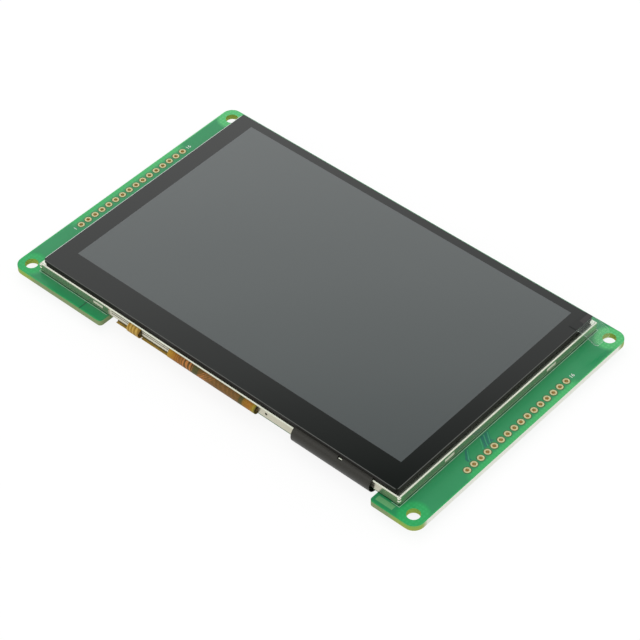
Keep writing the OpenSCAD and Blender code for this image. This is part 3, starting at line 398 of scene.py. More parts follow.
def tinned_sheet():
    """Tinned steel strip, blanked and folded: a soft warm-white mirror with faint rolling lines, duller
    down the walls that the die has rubbed, painted brighter on its upward faces as a highlight, and a
    painted shadow with a green reflection of the board along its foot."""
    material, tree, place = new_material("folded_tinned_steel")
    rolled = add(tree, "TexNoise", {
        "Vector": add(tree, "Mapping", {"Vector": place, "Scale": per_mm((0.05, 0.05, 3))}),
        "Scale": 1.0, "Detail": 3.0})
    cloud = add(tree, "TexNoise", {"Vector": place, "Scale": 0.2 / MM, "Detail": 2.0})
    painted_foot_shadow = add(tree, "MapRange", {
        "Value": add(tree, "SeparateXYZ", {0: place}).outputs["Z"],
        "From Min": (FRAME_LOW + FOOT_SHADOW_END) * MM, "From Max": (FRAME_LOW + FOOT_SHADOW_FULL) * MM})
    tilt = tilt_of(tree)
    tint = add(tree, "Mix", {"Factor": cloud, 6: "#bcb9a5", 7: "#d0cdba"}, data_type="RGBA")
    # Painted shadow with a green reflection of the board along the foot, and a painted highlight on the
    # upward faces.
    for mask, tone in ((painted_foot_shadow, "#3f6a48"), (tilt, "#eff4e4")):
        tint = add(tree, "Mix", {"Factor": mask, 6: tint, 7: tone}, data_type="RGBA")
    polish = add(tree, "MapRange", {"Value": tilt, "To Min": 0.86, "To Max": 1.0})
    rough = add(tree, "MapRange", {"Value": rolled, "To Min": 0.18, "To Max": 0.3})
    bump = add(tree, "Bump", {"Height": rolled, "Distance": 0.004 * MM})
    return close_material(material, tree, add(tree, "BsdfPrincipled", {
        "Base Color": tint, "Metallic": polish, "Roughness": rough, "Normal": bump}))


def cover_sheet():
    """Strengthened cover glass, floated, ground at its edges and printed on its back, bonded to the
    panel. Its face is a perfect dark mirror: black over the printed border, and over the screen a
    blue-grey haze from the anti-glare polariser below. Its sides look black too, because they show
    the print from within, with a fine ground arris."""
    material, tree, place = new_material("printed_and_bonded_cover_glass")
    face = add(tree, "Math", {0: tilt_of(tree), 1: 0.9}, operation="GREATER_THAN")
    grit = add(tree, "TexNoise", {"Vector": place, "Scale": 4 / MM, "Detail": 2.0})
    drift = add(tree, "TexNoise", {"Vector": place, "Scale": 0.02 / MM})
    haze, print_tone, sawn, ground = (
        add(tree, "Mix", {"Factor": factor, 6: dark, 7: light}, data_type="RGBA")
        for factor, dark, light in (
            (drift, "#363e3e", "#3a4242"), (drift, "#060b08", "#0b110e"),
            (grit, "#100f0d", "#1a1814"), (grit, "#424340", "#4e504c")))
    screen = add(tree, "BsdfPrincipled", {
        "Base Color": haze, "Roughness": 0.33, "IOR": 1.5,
        "Coat Weight": 1.0, "Coat Roughness": 0.01, "Coat IOR": 1.5})
    border = add(tree, "BsdfPrincipled", {"Base Color": print_tone, "Roughness": 0.01, "IOR": 1.52})
    side = add(tree, "BsdfPrincipled", {"Base Color": sawn, "Roughness": 0.45, "IOR": 1.2})
    arris = add(tree, "BsdfPrincipled", {"Base Color": ground, "Roughness": 0.3, "IOR": 1.5})
    edge = add(tree, "MixShader", {0: on_walls(tree, 0.3), 1: arris, 2: side})
    front = add(tree, "MixShader", {0: in_box(tree, place, *WINDOW), 1: border, 2: screen})
    return close_material(material, tree, add(tree, "MixShader", {0: face, 1: edge, 2: front}))


def let_through(tree, waves, haze, edge_haze, tone, ior, rough):
    """A clear plastic that light passes, with a drifting haze, a cloudier edge and its own gloss."""
    cloudy = add(tree, "MapRange", {"Value": waves, "To Min": haze, "To Max": 2 * haze})
    cloudy = add(tree, "Mix", {"Factor": on_walls(tree, 0.3), 2: cloudy, 3: edge_haze})
    body = add(tree, "MixShader", {
        0: cloudy, 1: add(tree, "BsdfTransparent", {"Color": "#fbfdfc"}),
        2: add(tree, "BsdfDiffuse", {"Color": tone})})
    return add(tree, "MixShader", {
        0: add(tree, "Fresnel", {"IOR": ior}), 1: body,
        2: add(tree, "BsdfGlossy", {"Color": "#ffffff", "Roughness": rough})})


# Where the pull tab is stuck to the glass, and where its corner is hazed, in mm.
TAB_STUCK = (COVER_LEFT, COVER_FRONT, COVER_RIGHT - 0.05, COVER_BACK - 0.05)
TAB_HAZED = (COVER_RIGHT - 1.5, COVER_BACK - 3.6, COVER_RIGHT + 1, COVER_BACK + 1)


def clear_tab():
    """Polyester pull tab, die cut and clear: let through where it stands over the board, with its
    own thin gloss and pale cut edges, and one with the black print where it is stuck to the glass."""
    material, tree, place = new_material("clear_polyester_tab")
    waves = add(tree, "TexNoise", {"Vector": place, "Scale": 0.15 / MM})
    free = let_through(tree, waves, 0.02, 0.8, "#e9f2ee", 1.12, 0.2)
    print_tone = add(tree, "Mix", {"Factor": waves, 6: "#080c0a", 7: "#0d120f"}, data_type="RGBA")
    print_tone = add(tree, "Mix", {
        "Factor": in_box(tree, place, *TAB_HAZED), 6: print_tone, 7: "#2a2727"}, data_type="RGBA")
    stuck = add(tree, "BsdfPrincipled", {"Base Color": print_tone, "Roughness": 0.02, "IOR": 1.5})
    return close_material(material, tree, add(tree, "MixShader", {
        0: in_box(tree, place, *TAB_STUCK), 1: free, 2: stuck}))


def clear_acrylic():
    """Acrylic, injection moulded clear and polished by the tool: let through apart from a thin haze and
    its own gloss, with sides painted brighter as a glow of gathered light."""
    material, tree, place = new_material("moulded_clear_acrylic")
    waves = add(tree, "TexNoise", {"Vector": place, "Scale": 0.15 / MM})
    return close_material(material, tree, let_through(tree, waves, 0.08, 0.6, "#eef6f6", 1.49, 0.05))


# Height in mm about which the tracks of the flex circuits lean, how far they wander and in what
# steps, and the part of each wave that reads as copper.
LEAN_LEVEL = (FRAME_LOW + FRAME_TOP) / 2 - 0.3
WANDER, WANDER_STEPS = 1.6, 0.45
COPPER_SHARE = (-0.4, 0.5)


def flex_circuit(name, left, right, bands, tracks):
    """Etched copper between films of amber polyimide: a warm satin gloss, with the tracks as brown
    and orange lines. The bands give the tone across its width, in mm. Each set of tracks has its
    pitch, the places it runs between, its lean, its two tones and its strength."""
    material, tree, place = new_material(name)
    x, _, z = add(tree, "SeparateXYZ", {0: place}).outputs
    across = add(tree, "MapRange", {"Value": x, "From Min": left * MM, "From Max": right * MM})
    tint = set_stops(add(tree, "ValToRGB", {0: across}), [
        ((at - left) / (right - left), tone) for at, tone in bands])
    slide = add(tree, "Math", {0: z, 1: LEAN_LEVEL * MM}, operation="SUBTRACT")
    wander = add(tree, "TexNoise", {
        "Vector": add(tree, "Mapping", {"Vector": place, "Scale": per_mm((WANDER_STEPS, 0, 0))}),
        "Scale": 1.0})
    for pitch, start, end, lean, dark, light, strength in tracks:
        leaned = add(tree, "Math", {0: slide, 1: lean, 2: x}, operation="MULTIPLY_ADD")
        moved = add(tree, "Math", {0: wander, 1: WANDER * MM, 2: leaned}, operation="MULTIPLY_ADD")
        turn = add(tree, "Math", {0: moved, 1: 2 * math.pi / (pitch * MM)}, operation="MULTIPLY")
        line = add(tree, "MapRange", {
            "Value": add(tree, "Math", {0: turn}, operation="SINE"),
            "From Min": COPPER_SHARE[0], "From Max": COPPER_SHARE[1]})
        line = add(tree, "Mix", {"Factor": line, 6: dark, 7: light}, data_type="RGBA")
        past = add(tree, "Math", {0: leaned, 1: start * MM}, operation="GREATER_THAN")
        short = add(tree, "Math", {0: leaned, 1: end * MM}, operation="LESS_THAN")
        here = add(tree, "Math", {0: past, 1: short}, operation="MULTIPLY")
        here = add(tree, "Math", {0: here, 1: strength}, operation="MULTIPLY")
        tint = add(tree, "Mix", {"Factor": here, 6: tint, 7: line}, data_type="RGBA")
    stain = add(tree, "TexNoise", {"Vector": place, "Scale": 0.9 / MM, "Detail": 3.0})
    drift = add(tree, "MapRange", {"Value": stain, "To Min": 0.8, "To Max": 1.2})
    tint = add(tree, "HueSaturation", {"Color": tint, "Value": drift})
    bump = add(tree, "Bump", {"Height": stain, "Distance": 0.01 * MM})
    return close_material(material, tree, add(tree, "BsdfPrincipled", {
        "Base Color": tint, "Roughness": 0.45, "IOR": 1.36, "Normal": bump}))


def give(material, *names):
    """Puts one material on every slot of the named CAD nodes, and returns it."""
    for name in names:
        for holder in nodes[name].material_slots:
            holder.material = material
    return material


bpy.ops.object.select_all(action="DESELECT")
scene.view_settings.view_transform = "Standard"
set_camera()
set_studio()
add_lamp("overhead_left", (-0.35, 0.25, 0.75), 0.6, 1.0)
add_floor()

give(board_laminate(), "circuit_board")
give(gold_plating(), "left_header_barrels", "right_header_barrels")
TINPLATE = give(tinned_sheet(), "metal_frame")
# Polycarbonate, injection moulded and filled white: opaque, even and slightly soft in its gloss.
WHITE_MOULD = give(solid_finish(
    "moulded_white_polycarbonate", "#dddbc8", "#e8e6d4", 0.45, 0.8, 0.002), "mould_frame")
# Acrylic foam between two glue faces, slit from a roll: matt off-white with open cells.
give(solid_finish("acrylic_foam_tape", "#c9c8c2", "#dedcd4", 0.75, 7, 0.03), "mounting_tape")
# Polyester film blown full of fine voids: bright white with a silky sheen.
give(solid_finish("voided_white_polyester", "#e3e4e2", "#efefed", 0.35, 0.5),
     "reflector_sheet", "diffuser_sheet")
# Prism film, embossed in ridges 0.05 mm apart and drawn here 0.4 mm apart so that they show.
give(solid_finish("embossed_prism_film", "#b9bec2", "#cdd1d3", 0.3, (2.5, 0.02, 1), 0.02),
     "lower_prism_sheet", "upper_prism_sheet")
# Lamp package moulded in white with a lens of silicone and yellow phosphor: a matt pale yellow.
give(solid_finish("phosphor_filled_lamp", "#e8dfa0", "#f4efc8", 0.4, 3), "backlight_leds")
# Polyester tape, coated black: an even semi-gloss black.
give(solid_finish("black_polyester_tape", "#0d0d0d", "#171717", 0.4, 3, 0.003), "light_shield_tape")
# Stretched and dyed polarising film with a hard anti-glare coat: near-black with a fine sparkle.
give(solid_finish("anti_glare_polariser", "#1b2022", "#252b2d", 0.42, 9, 0.002),
     "rear_polariser", "front_polariser")
# Fusion-drawn display glass with thin-film circuits: dark, flat and glossy.
give(solid_finish("display_cell_glass", "#141a1a", "#1c2424", 0.08, 0.3, 0.001),
     "tft_glass", "colour_filter_glass")
# Bare silicon, ground and diced: a grey-violet gloss.
give(solid_finish("diced_silicon", "#26262c", "#35363f", 0.18, 1, 0.001), "driver_chips")
# Closed-cell foam gasket, die cut: matt black-brown with fine cells.
give(solid_finish("black_foam_gasket", "#15110e", "#231c17", 0.85, 8, 0.012), "gasket_tape")
# Sensor glass with a sputtered conductor pattern that shows as a faint grey-green bloom.
give(solid_finish("sputtered_sensor_glass", "#2b3232", "#353d3c", 0.15, 0.2, 0.001), "touch_sensor")
# Neutral-tinted acrylic adhesive, cast in a sheet and laminated: it gives the switched-off screen
# its even blue-grey depth.
give(solid_finish("tinted_optical_adhesive", "#3f4747", "#444c4c", 0.55, 0.03, 0.002, ior=1.45),
     "optical_adhesive")
# Black enamel ink, screen printed on the back of the glass and fired: it has no gloss of its own.
give(solid_finish("fired_black_ink", "#100f0e", "#141312", 0.8, 4, 0.001, ior=1.05), "border_print")
# Epoxy filled with silica, transfer moulded: matt charcoal with a fine eroded grain.
give(solid_finish("moulded_black_epoxy", "#161616", "#282828", 0.55, 9, 0.012),
     "touch_controller", "display_controller", "boost_converters", "voltage_regulator",
     "rectifier_diodes", "chip_resistors")
# Tin, electroplated matt: a soft grey metal with a fine crystal grain.
TIN = give(solid_finish("matt_tin_plating", "#b9b8b2", "#d6d5cf", 0.38, 7, 0.006, 1.0),
           "display_controller_leads", "inductor_terminals", "small_chip_leads", "diode_terminals",
           "bulk_capacitor_terminals", "capacitor_end_caps", "resistor_end_caps")
# Solder, melted and set: a brighter rippled grey metal.
SOLDER = give(solid_finish("reflowed_solder", "#b4b4b0", "#d2d2ce", 0.24, 3, 0.02, 1.0),
              "main_flex_solder", "backlight_solder")
# Alumina, pressed and fired: matt cream-white.
give(solid_finish("fired_alumina", "#cfc9b6", "#dcd7c6", 0.5, 7), "crystal_base")
# Iron-nickel-cobalt lid, nickel plated and seam welded: smooth and bright with a warm tone.
give(solid_finish("nickel_plated_lid", "#c2bfb4", "#d8d5cb", 0.22, (0.6, 6, 1), 0.003, 1.0),
     "crystal_lid")
# Ferrite, pressed and sintered: matt charcoal with a coarse grain.
give(solid_finish("sintered_ferrite", "#242322", "#393735", 0.65, 5, 0.025), "power_inductors")
# Tantalum capacitor's yellow epoxy, moulded: an even ochre with a dull sheen.
give(solid_finish("moulded_yellow_epoxy", "#b98626", "#cf9e38", 0.45, 6, 0.01), "bulk_capacitors")
# Layered titanate ceramic, fired: brown with a slight gloss.
give(solid_finish("fired_layered_ceramic", "#8a6b48", "#a5855c", 0.42, 4), "ceramic_capacitors")
# Nylon filled with glass, moulded: cream with a soft sheen and flow marks.
give(solid_finish("moulded_cream_nylon", "#d8cfae", "#e6dec3", 0.5, (2, 0.5, 2)),
     "touch_connector_housing")
# Phosphor bronze contacts, stamped and gold plated: bright, with the lines of the strip.
give(solid_finish("gold_plated_bronze", "#c79b45", "#dfb965", 0.3, (0.5, 5, 5), 0.004, 1.0),
     "touch_connector_contacts")
# White epoxy legend ink, screen printed thin: matt, with the green mask showing through in places.
LEGEND = solid_finish("white_legend_ink", "#7fb08f", "#cfdccf", 0.6, 0.5, 0.006)
# The same ink printed thick: a matt white that hides the mask.
BRIGHT_LEGEND = solid_finish("fresh_white_legend_ink", "#d3dbd2", "#e8ede6", 0.6, 5, 0.006)
# Black polyimide film over etched copper, pressed: a dark satin with a brown tinge.
give(solid_finish("black_polyimide_film", "#1a1912", "#26241a", 0.4, 0.7, 0.006), "touch_flex")
give(cover_sheet(), "cover_glass")
give(clear_tab(), "pull_tab")
give(clear_acrylic(), "light_guide")

# The stretch of the main flex that shows in the front opening, its tones by X in mm, and its sets of
# tracks from left to right.
FLEX_INSETS = (18.55, 0.95)
flex_low, flex_high = corners("main_flex")
FLEX_LEFT, FLEX_RIGHT = flex_low[0] + FLEX_INSETS[0], flex_high[0] - FLEX_INSETS[1]
MAIN_TONES = [
    (-14.05, "#a5863c"), (-13.9, "#b58a1e"), (-13.2, "#ad8018"), (-12.4, "#a87418"),
    (-11.4, "#9b6513"), (-10.4, "#85581c"), (-8.0, "#744d14"), (-6.2, "#604512"),
    (-0.6, "#7c5922"), (1.0, "#735321"), (9.7, "#735321"), (10.1, "#4c4518"),
    (11.0, "#544a18"), (11.3, "#8c6410"), (13.4, "#a0680e"), (14.3, "#9c7414"),
    (14.6, "#a39020"), (15.2, "#6a6018")]
MAIN_TRACKS = [
    (0.8, -11.4, -9.0, 0.3, "#84540f", "#ad6c22", 0.6),
    (1.15, -9.0, -5.4, 0.3, "#604512", "#c07c3c", 0.85),
    (8.0, -5.6, -3.8, 0.0, "#4a4a1e", "#525024", 0.9),
    (0.8, -3.8, -0.4, -1.4, "#6a4a1c", "#c07a38", 0.9),
    (1.45, -0.9, 9.7, 0.9, "#6e4f1f", "#80592a", 0.7)]
give(flex_circuit("etched_amber_polyimide", FLEX_LEFT, FLEX_RIGHT, MAIN_TONES, MAIN_TRACKS),
     "main_flex")
LAMP_FLEX_LEFT, LAMP_FLEX_MIDDLE, LAMP_FLEX_RIGHT = -28.1, -26.1, -24.1
give(flex_circuit("gold_backlight_polyimide", LAMP_FLEX_LEFT, LAMP_FLEX_RIGHT, [
    (LAMP_FLEX_LEFT, "#b08a24"), (LAMP_FLEX_MIDDLE, "#b28a2c"), (LAMP_FLEX_RIGHT, "#8f6a1c"),
], [(1.15, -40, 40, 0.3, "#96701e", "#cca850", 0.8)]), "backlight_flex")


# ---------------- modelled pieces

def pick(*pieces):
    """Selects the pieces and nothing else, with the first one active."""
    bpy.ops.object.select_all(action="DESELECT")
    for piece in pieces:
        piece.select_set(True)
    bpy.context.view_layer.objects.active = pieces[0]


def settle(parts, name, material):
    """Joins parts into one piece with its place in its mesh, and fixes it to the body."""
    pick(*parts)
    bpy.ops.object.transform_apply(location=True, rotation=True, scale=True)
    if len(parts) > 1:
        bpy.ops.object.join()
    piece = parts[0]
    piece.name = piece.data.name = name
    piece.data.materials.clear()
    piece.data.materials.append(material)
    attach(piece, "root")


def draw(lines, level, **settings):
    """A mesh at a level from lines of points (x, y) in mm, each with whether it closes on itself."""
    data = bpy.data.curves.new("lines", "CURVE")
    for name, value in settings.items():
        setattr(data, name, value)
    for points, closed in lines:
        spline = data.splines.new("POLY")
        spline.points.add(len(points) - 1)
        for point, (x, y) in zip(spline.points, points):
            point.co = (x * MM, y * MM, 0, 1)
        spline.use_cyclic_u = closed
    drawn = bpy.data.objects.new("lines", data)
    scene.collection.objects.link(drawn)
    pick(drawn)
    bpy.ops.object.convert(target="MESH")
    drawn.location.z = level * MM
    return drawn


def strokes(lines, width, height, level):
    """Low rounded strokes of ink, copper or a painted highlight along lines, in mm."""
    drawn = draw(lines, level, dimensions="3D", bevel_depth=width / 2 * MM, bevel_resolution=1,
                 use_fill_caps=True)
    drawn.scale.z = 2 * height / width
    return drawn


NUMBER_SIZE = 1.5
NUMBER_RELIEF = 0.01
NUMBER_LEVEL = 0.012
END_NUMBERS = (("16", ROW_END + 2.3), ("1", -ROW_END - 2.1))


def number(body, x, y, underside=False):
    """A plain number in ink, lying flat on the board and turned along its header row."""
    bpy.ops.object.select_all(action="DESELECT")
    bpy.ops.object.text_add()
    text = bpy.context.object
    text.data.body = body
    text.data.size = NUMBER_SIZE * MM
    text.data.align_x = text.data.align_y = "CENTER"
    text.data.extrude = text.data.offset = NUMBER_RELIEF * MM
    text.data.resolution_u = 3
    bpy.ops.object.convert(target="MESH")
    level = BOARD_LOW - NUMBER_LEVEL if underside else BOARD_TOP + NUMBER_LEVEL
    text.rotation_euler = (math.pi if underside else 0, 0, math.pi / 2)
    text.location = (x * MM, y * MM, level * MM)
    return text


# Where both ends of a block's edge stand when it is one of those that are bevelled.
ENDS = {"top": lambda co: co.z > 0, "outer": lambda co: co.z < 0 and co.x > 0, "all": lambda co: True}


def shaped_block(edges, width, segments, profile=0.5):
    """A unit block centred on the origin with some of its edges bevelled: a start for solder, ribs
    and marks."""
    bpy.ops.object.select_all(action="DESELECT")
    bpy.ops.mesh.primitive_cube_add(size=1.0)
    block = bpy.context.object
    points = block.data.vertices
    for edge in block.data.edges:
        edge.select = all(ENDS[edges](points[v].co) for v in edge.vertices)
    for point in points:
        point.select = False
    bpy.ops.object.mode_set(mode="EDIT")
    bpy.ops.mesh.select_mode(type="EDGE")
    bpy.ops.mesh.bevel(offset=width, offset_type="OFFSET", segments=segments, profile=profile)
    bpy.ops.object.mode_set(mode="OBJECT")
    return block


def copies_of(first, count):
    """Copies of a start, each with its own mesh, and the start itself taken away."""
    copies = [first.copy() for _ in range(count)]
    for copy in copies:
        copy.data = first.data.copy()
        scene.collection.objects.link(copy)
    bpy.data.objects.remove(first)
    return copies


def set_blocks(name, material, slot_name, boxes, *shape):
    """One piece from copies of a shaped block that fill boxes in mm: a low corner, a high corner
    and, where it is turned, its turn."""
    copies = copies_of(shaped_block(*shape), len(boxes))
    for copy, (box_low, box_high, *turn) in zip(copies, boxes):
        copy.location = [(a + b) / 2 * MM for a, b in zip(box_low, box_high)]
        copy.scale = [(b - a) * MM for a, b in zip(box_low, box_high)]
        copy.rotation_euler.z = turn[0] if turn else 0
    settle(copies, name, material)


def pressed_disc(vertices, radius, depth, rim, press):
    """A low round boss facing down with its face inset and pressed in, in mm: a start for a pit, a
    dimple or a plated hole."""
    bpy.ops.object.select_all(action="DESELECT")
    bpy.ops.mesh.primitive_cylinder_add(vertices=vertices, radius=radius * MM, depth=depth * MM)
    boss = bpy.context.object
    bpy.ops.object.mode_set(mode="EDIT")
    bpy.ops.mesh.select_mode(type="FACE")
    bpy.ops.mesh.select_all(action="DESELECT")
    bpy.ops.object.mode_set(mode="OBJECT")
    for face in boss.data.polygons:
        face.select = face.normal.z < -0.9
    bpy.ops.object.mode_set(mode="EDIT")
    bpy.ops.mesh.inset(thickness=rim * MM)
    bpy.ops.transform.translate(value=(0, 0, press * MM))
    bpy.ops.object.mode_set(mode="OBJECT")
    return boss


CUP_SIDES, CUP_DEPTH, CUP_PRESS = 20, 0.04, 0.025


def cups(places, z, radius, rim):
    """Copies of one pressed disc at points (x, y) in mm."""
    copies = copies_of(pressed_disc(CUP_SIDES, radius, CUP_DEPTH, rim, CUP_PRESS), len(places))
    for copy, (x, y) in zip(copies, places):
        copy.location = (x * MM, y * MM, z * MM)
    return copies


def islands(name):
    """Low and high corners in mm of each separate solid in a node."""
    mesh = nodes[name].data
    points = np.empty(len(mesh.vertices) * 3)
    mesh.vertices.foreach_get("co", points)
    points = points.reshape(-1, 3) / MM
    merged, back = np.unique(np.round(points, 3), axis=0, return_inverse=True)
    back = back.ravel()
    label = np.arange(len(merged))
    faces = np.array([back[list(face.vertices)] for face in mesh.polygons])
    while True:
        least = label[faces].min(axis=1)
        fresh = label.copy()
        np.minimum.at(fresh, faces.ravel(), np.repeat(least, 3))
        if (fresh == label).all():
            break
        label = fresh
    found = []
    for mark in np.unique(label):
        mine = merged[label == mark]
        found.append((mine.min(axis=0), mine.max(axis=0)))
    return found


# Legend on the upper face: the outline of the display's seat, which stops at the cut-outs, and the
# numbers at the rows' ends.
SEAT_GAP, SEAT_LINE = 0.14, 0.14
SEAT_STOPS = (-36.0, 58.0)
SUNK, SEAT_HEIGHT = 0.01, 0.02
left, front = FRAME_LEFT - SEAT_GAP, FRAME_FRONT - SEAT_GAP
right, back = FRAME_RIGHT + SEAT_GAP, FRAME_BACK + SEAT_GAP
seat_bars = [
    (left - SEAT_LINE, front - SEAT_LINE, SEAT_STOPS[0], front),
    (SEAT_STOPS[1], front - SEAT_LINE, right + SEAT_LINE, front),
    (left - SEAT_LINE, back, right + SEAT_LINE, back + SEAT_LINE),
    (left - SEAT_LINE, front, left, back), (right, front, right + SEAT_LINE, back)]
set_blocks("seat_outline", LEGEND, "laminate", [
    ((x0, y0, BOARD_TOP - SUNK), (x1, y1, BOARD_TOP + SEAT_HEIGHT)) for x0, y0, x1, y1 in seat_bars
], "top", 0.1, 1)
settle([number(body, -HEADER_X, y) for body, y in END_NUMBERS] + [
    number(END_NUMBERS[0][0], HEADER_X, END_NUMBERS[0][1])], "pin_numbers", BRIGHT_LEGEND)

# Two clearings in the pour beside the right row, where tracks leave it for the display. Solder mask
# over bare laminate gives back little light there and reads as a deep blue-green.
DARK_MASK = solid_finish("green_mask_on_dark_laminate", "#126a58", "#1d7a66", 0.3, 0.6, 0.004)
CLEARINGS = [
    [(63.9, -7.4), (63.9, -11.0), (62.5, -10.0), (60.75, -9.0), (60.75, -6.0), (63.1, -7.75)],
    [(63.9, -15.75), (63.6, -16.9), (62.75, -16.9), (60.75, -14.75), (60.75, -13.5), (63.1, -15.75)]]
CLEARING_DEPTH = 0.012
settle([draw([(points, True) for points in CLEARINGS], BOARD_TOP + CLEARING_DEPTH / 2,
             dimensions="2D", fill_mode="BOTH", extrude=CLEARING_DEPTH / 2 * MM)],
       "pour_clearings", DARK_MASK)
# Solder mask over copper tracks: glossy low ridges, paler than the clearings that they cross.
TRACK_MASK = solid_finish("green_mask_on_track", "#2b9a66", "#3eaa78", 0.3, 0.8, 0.004)
ROW_TRACKS = [
    [(63.9, -8.9), (63.3, -8.4), (61.0, -6.6)],
    [(63.9, -11.6), (63.3, -11.1), (61.0, -9.3)],
    [(63.9, -9.9), (62.9, -9.3), (61.0, -7.9)],
    [(63.9, -16.5), (63.2, -16.2), (61.0, -14.1)]]
settle([strokes([(points, False) for points in ROW_TRACKS], 0.28, 0.05, BOARD_TOP + 0.01)],
       "row_tracks", TRACK_MASK)

# What shows in the opening of the metal frame: ribs along the moulded frame's front face, grey-brown
# strips between them that paint the shade in the grooves, dark olive strips under them that paint the
# shade in the gap above the flex circuit, and dark brown blocks that paint the shade inside the two
# amber folds.
OPENING_LEFT, FRONT_FACE = -34.6, FRAME_FRONT + 0.4
RIB_RUNS = [(OPENING_LEFT, -28.25), (-23.95, -14.4)]
GAP_SHADE_RUNS = [(OPENING_LEFT + 2, -28.3), (-24.5, -14.2)]
FOLD_SHADE_RUNS = [(-28.0, -24.1), (FLEX_LEFT + 0.2, FLEX_RIGHT + 0.2)]
# Painted shade in the grooves between the ribs: matt grey-brown with a crumbly grain.
GROOVE_SHADE = solid_finish("painted_groove_shade", "#4d4a38", "#66634f", 0.8, 3, 0.02)
# Painted shade in the gap between the ribs and the flex circuit: a dull olive-brown.
GAP_SHADE = solid_finish("painted_gap_shade", "#544b24", "#6b5f30", 0.6, 3)
# Painted shade inside the folds: matt dark brown with a grain like open cells.
FOLD_SHADE = solid_finish("painted_fold_shade", "#3a2d10", "#66501f", 0.85, 6, 0.03)
# Each row: runs along X, heights, reach in front of and behind the front face, bevel and segments.
for name, material, slot_name, runs, heights, (near, far), bevel, segments in (
        ("mould_front_ribs", WHITE_MOULD, "white_plastic", RIB_RUNS,
         [(5.9, 6.15), (5.25, 5.62), (4.15, 4.95)], (-0.3, 0.05), 0.08, 2),
        ("painted_groove_shade_strips", GROOVE_SHADE, "white_plastic", RIB_RUNS,
         [(5.58, 5.95), (4.88, 5.3)], (-0.28, -0.03), 0.06, 1),
        ("painted_gap_shade_strips", GAP_SHADE, "black_tape", GAP_SHADE_RUNS, [(3.61, 4.02)], (-0.32, -0.01), 0.06, 1),
        ("painted_fold_shade_blocks", FOLD_SHADE, "black_tape", FOLD_SHADE_RUNS, [(3.95, 5.75)], (-1.12, -0.02), 0.25, 2)):
    set_blocks(name, material, slot_name, [
        ((left, FRONT_FACE + near, bottom), (right, FRONT_FACE + far, top))
        for bottom, top in heights for left, right in runs], "all", bevel, segments)

# Rolled ears that close the front corners of the metal frame where two walls meet.
EAR, EAR_HEIGHT, EAR_PROUD = 0.45, 0.85, 0.18
EAR_DROPS = (0.3, 1.2)
ear_y = FRAME_FRONT + EAR - EAR_PROUD
set_blocks("frame_corner_ears", TINPLATE, "tinned_steel", [
    ((x - EAR, ear_y - EAR, FRAME_TOP - drop - EAR_HEIGHT), (x + EAR, ear_y + EAR, FRAME_TOP - drop))
    for x in (FRAME_LEFT + EAR - EAR_PROUD, FRAME_RIGHT - EAR + EAR_PROUD)
    for drop in EAR_DROPS], "all", 0.32, 3)

# Painted highlight along the glass's left arris: a pale and matt line.
ARRIS_HIGHLIGHT = solid_finish("painted_arris_highlight", "#d3dad5", "#eef3ef", 0.5, 6, 0.01)
HIGHLIGHT_WIDTH, HIGHLIGHT_INSET, HIGHLIGHT_END = 0.16, 0.03, 0.8
highlight_x = COVER_LEFT + HIGHLIGHT_INSET
settle([strokes([([(highlight_x, COVER_FRONT + HIGHLIGHT_END), (highlight_x, COVER_BACK - HIGHLIGHT_END)], False)],
                HIGHLIGHT_WIDTH, HIGHLIGHT_WIDTH / 2, COVER_TOP - HIGHLIGHT_WIDTH / 2)],
       "painted_arris_highlight_line", ARRIS_HIGHLIGHT)

# Blind pit behind the gauge hole in the metal frame's front wall: dark plastic with the shade inside
# the pit painted on.
PIT = solid_finish("shaded_blind_pit", "#2c2a1c", "#3d3a28", 0.8, 4)
GAUGE_X, GAUGE_Z, GAUGE_SETBACK = 18.15, 5.3, 0.335
pit = pressed_disc(vertices=24, radius=0.43, depth=0.06, rim=0.06, press=0.03)
pit.rotation_euler.x = -math.pi / 2
pit.location = (GAUGE_X * MM, (FRAME_FRONT + GAUGE_SETBACK) * MM, GAUGE_Z * MM)
settle([pit], "gauge_pit", PIT)


# ---------------- underside

WAYS = ((1, 0), (0, 1), (-1, 0), (0, -1))


def middle_of(island):
    """Middle of a solid in plan, in mm."""
    return (island[0] + island[1])[:2] / 2


def from_nearest(island, bodies):
    """Way in mm from the middle of the nearest body to the middle of an end cap or a lead."""
    return min((middle_of(island) - middle_of(body) for body in bodies), key=lambda way: np.hypot(*way))


def quarter_turns(away, along_x):
    """Quarter turns from +X to the way that a cap or a lead points."""
    return (0 if away[0] > 0 else 2) if along_x else (1 if away[1] > 0 else 3)


# Solder melted up the ends of the chip parts, in a hollow curve from the cap down to its pad. The
# share is how far up the cap it climbs.
FILLET_REACH, FILLET_SPREAD, FILLET_LEAST = 0.35, 0.03, 0.3
fillets = []
for cap_node, body_node, share in (
        ("capacitor_end_caps", "ceramic_capacitors", 0.7),
        ("resistor_end_caps", "chip_resistors", 0.85),
        ("inductor_terminals", "power_inductors", 1.0), ("diode_terminals", "rectifier_diodes", 1.0),
        ("bulk_capacitor_terminals", "bulk_capacitors", 1.0)):
    bodies = islands(body_node)
    for cap in islands(cap_node):
        away = from_nearest(cap, bodies)
        quarter = quarter_turns(away, abs(away[0]) > abs(away[1]))
        size = (cap[1] - cap[0])[:2]
        along, across = size if quarter % 2 == 0 else size[::-1]
        middle = middle_of(cap) + np.array(WAYS[quarter]) * (along + FILLET_REACH) / 2
        half = np.array([FILLET_REACH, across + 2 * FILLET_SPREAD]) / 2
        rise = max(FILLET_LEAST, (BOARD_LOW - cap[0][2]) * share)
        fillets.append((
            (*(middle - half), BOARD_LOW - rise), (*(middle + half), BOARD_LOW + SUNK),
            quarter * math.pi / 2))
set_blocks("solder_fillets", SOLDER, "solder", fillets, "outer", 0.92, 5, 0.12)

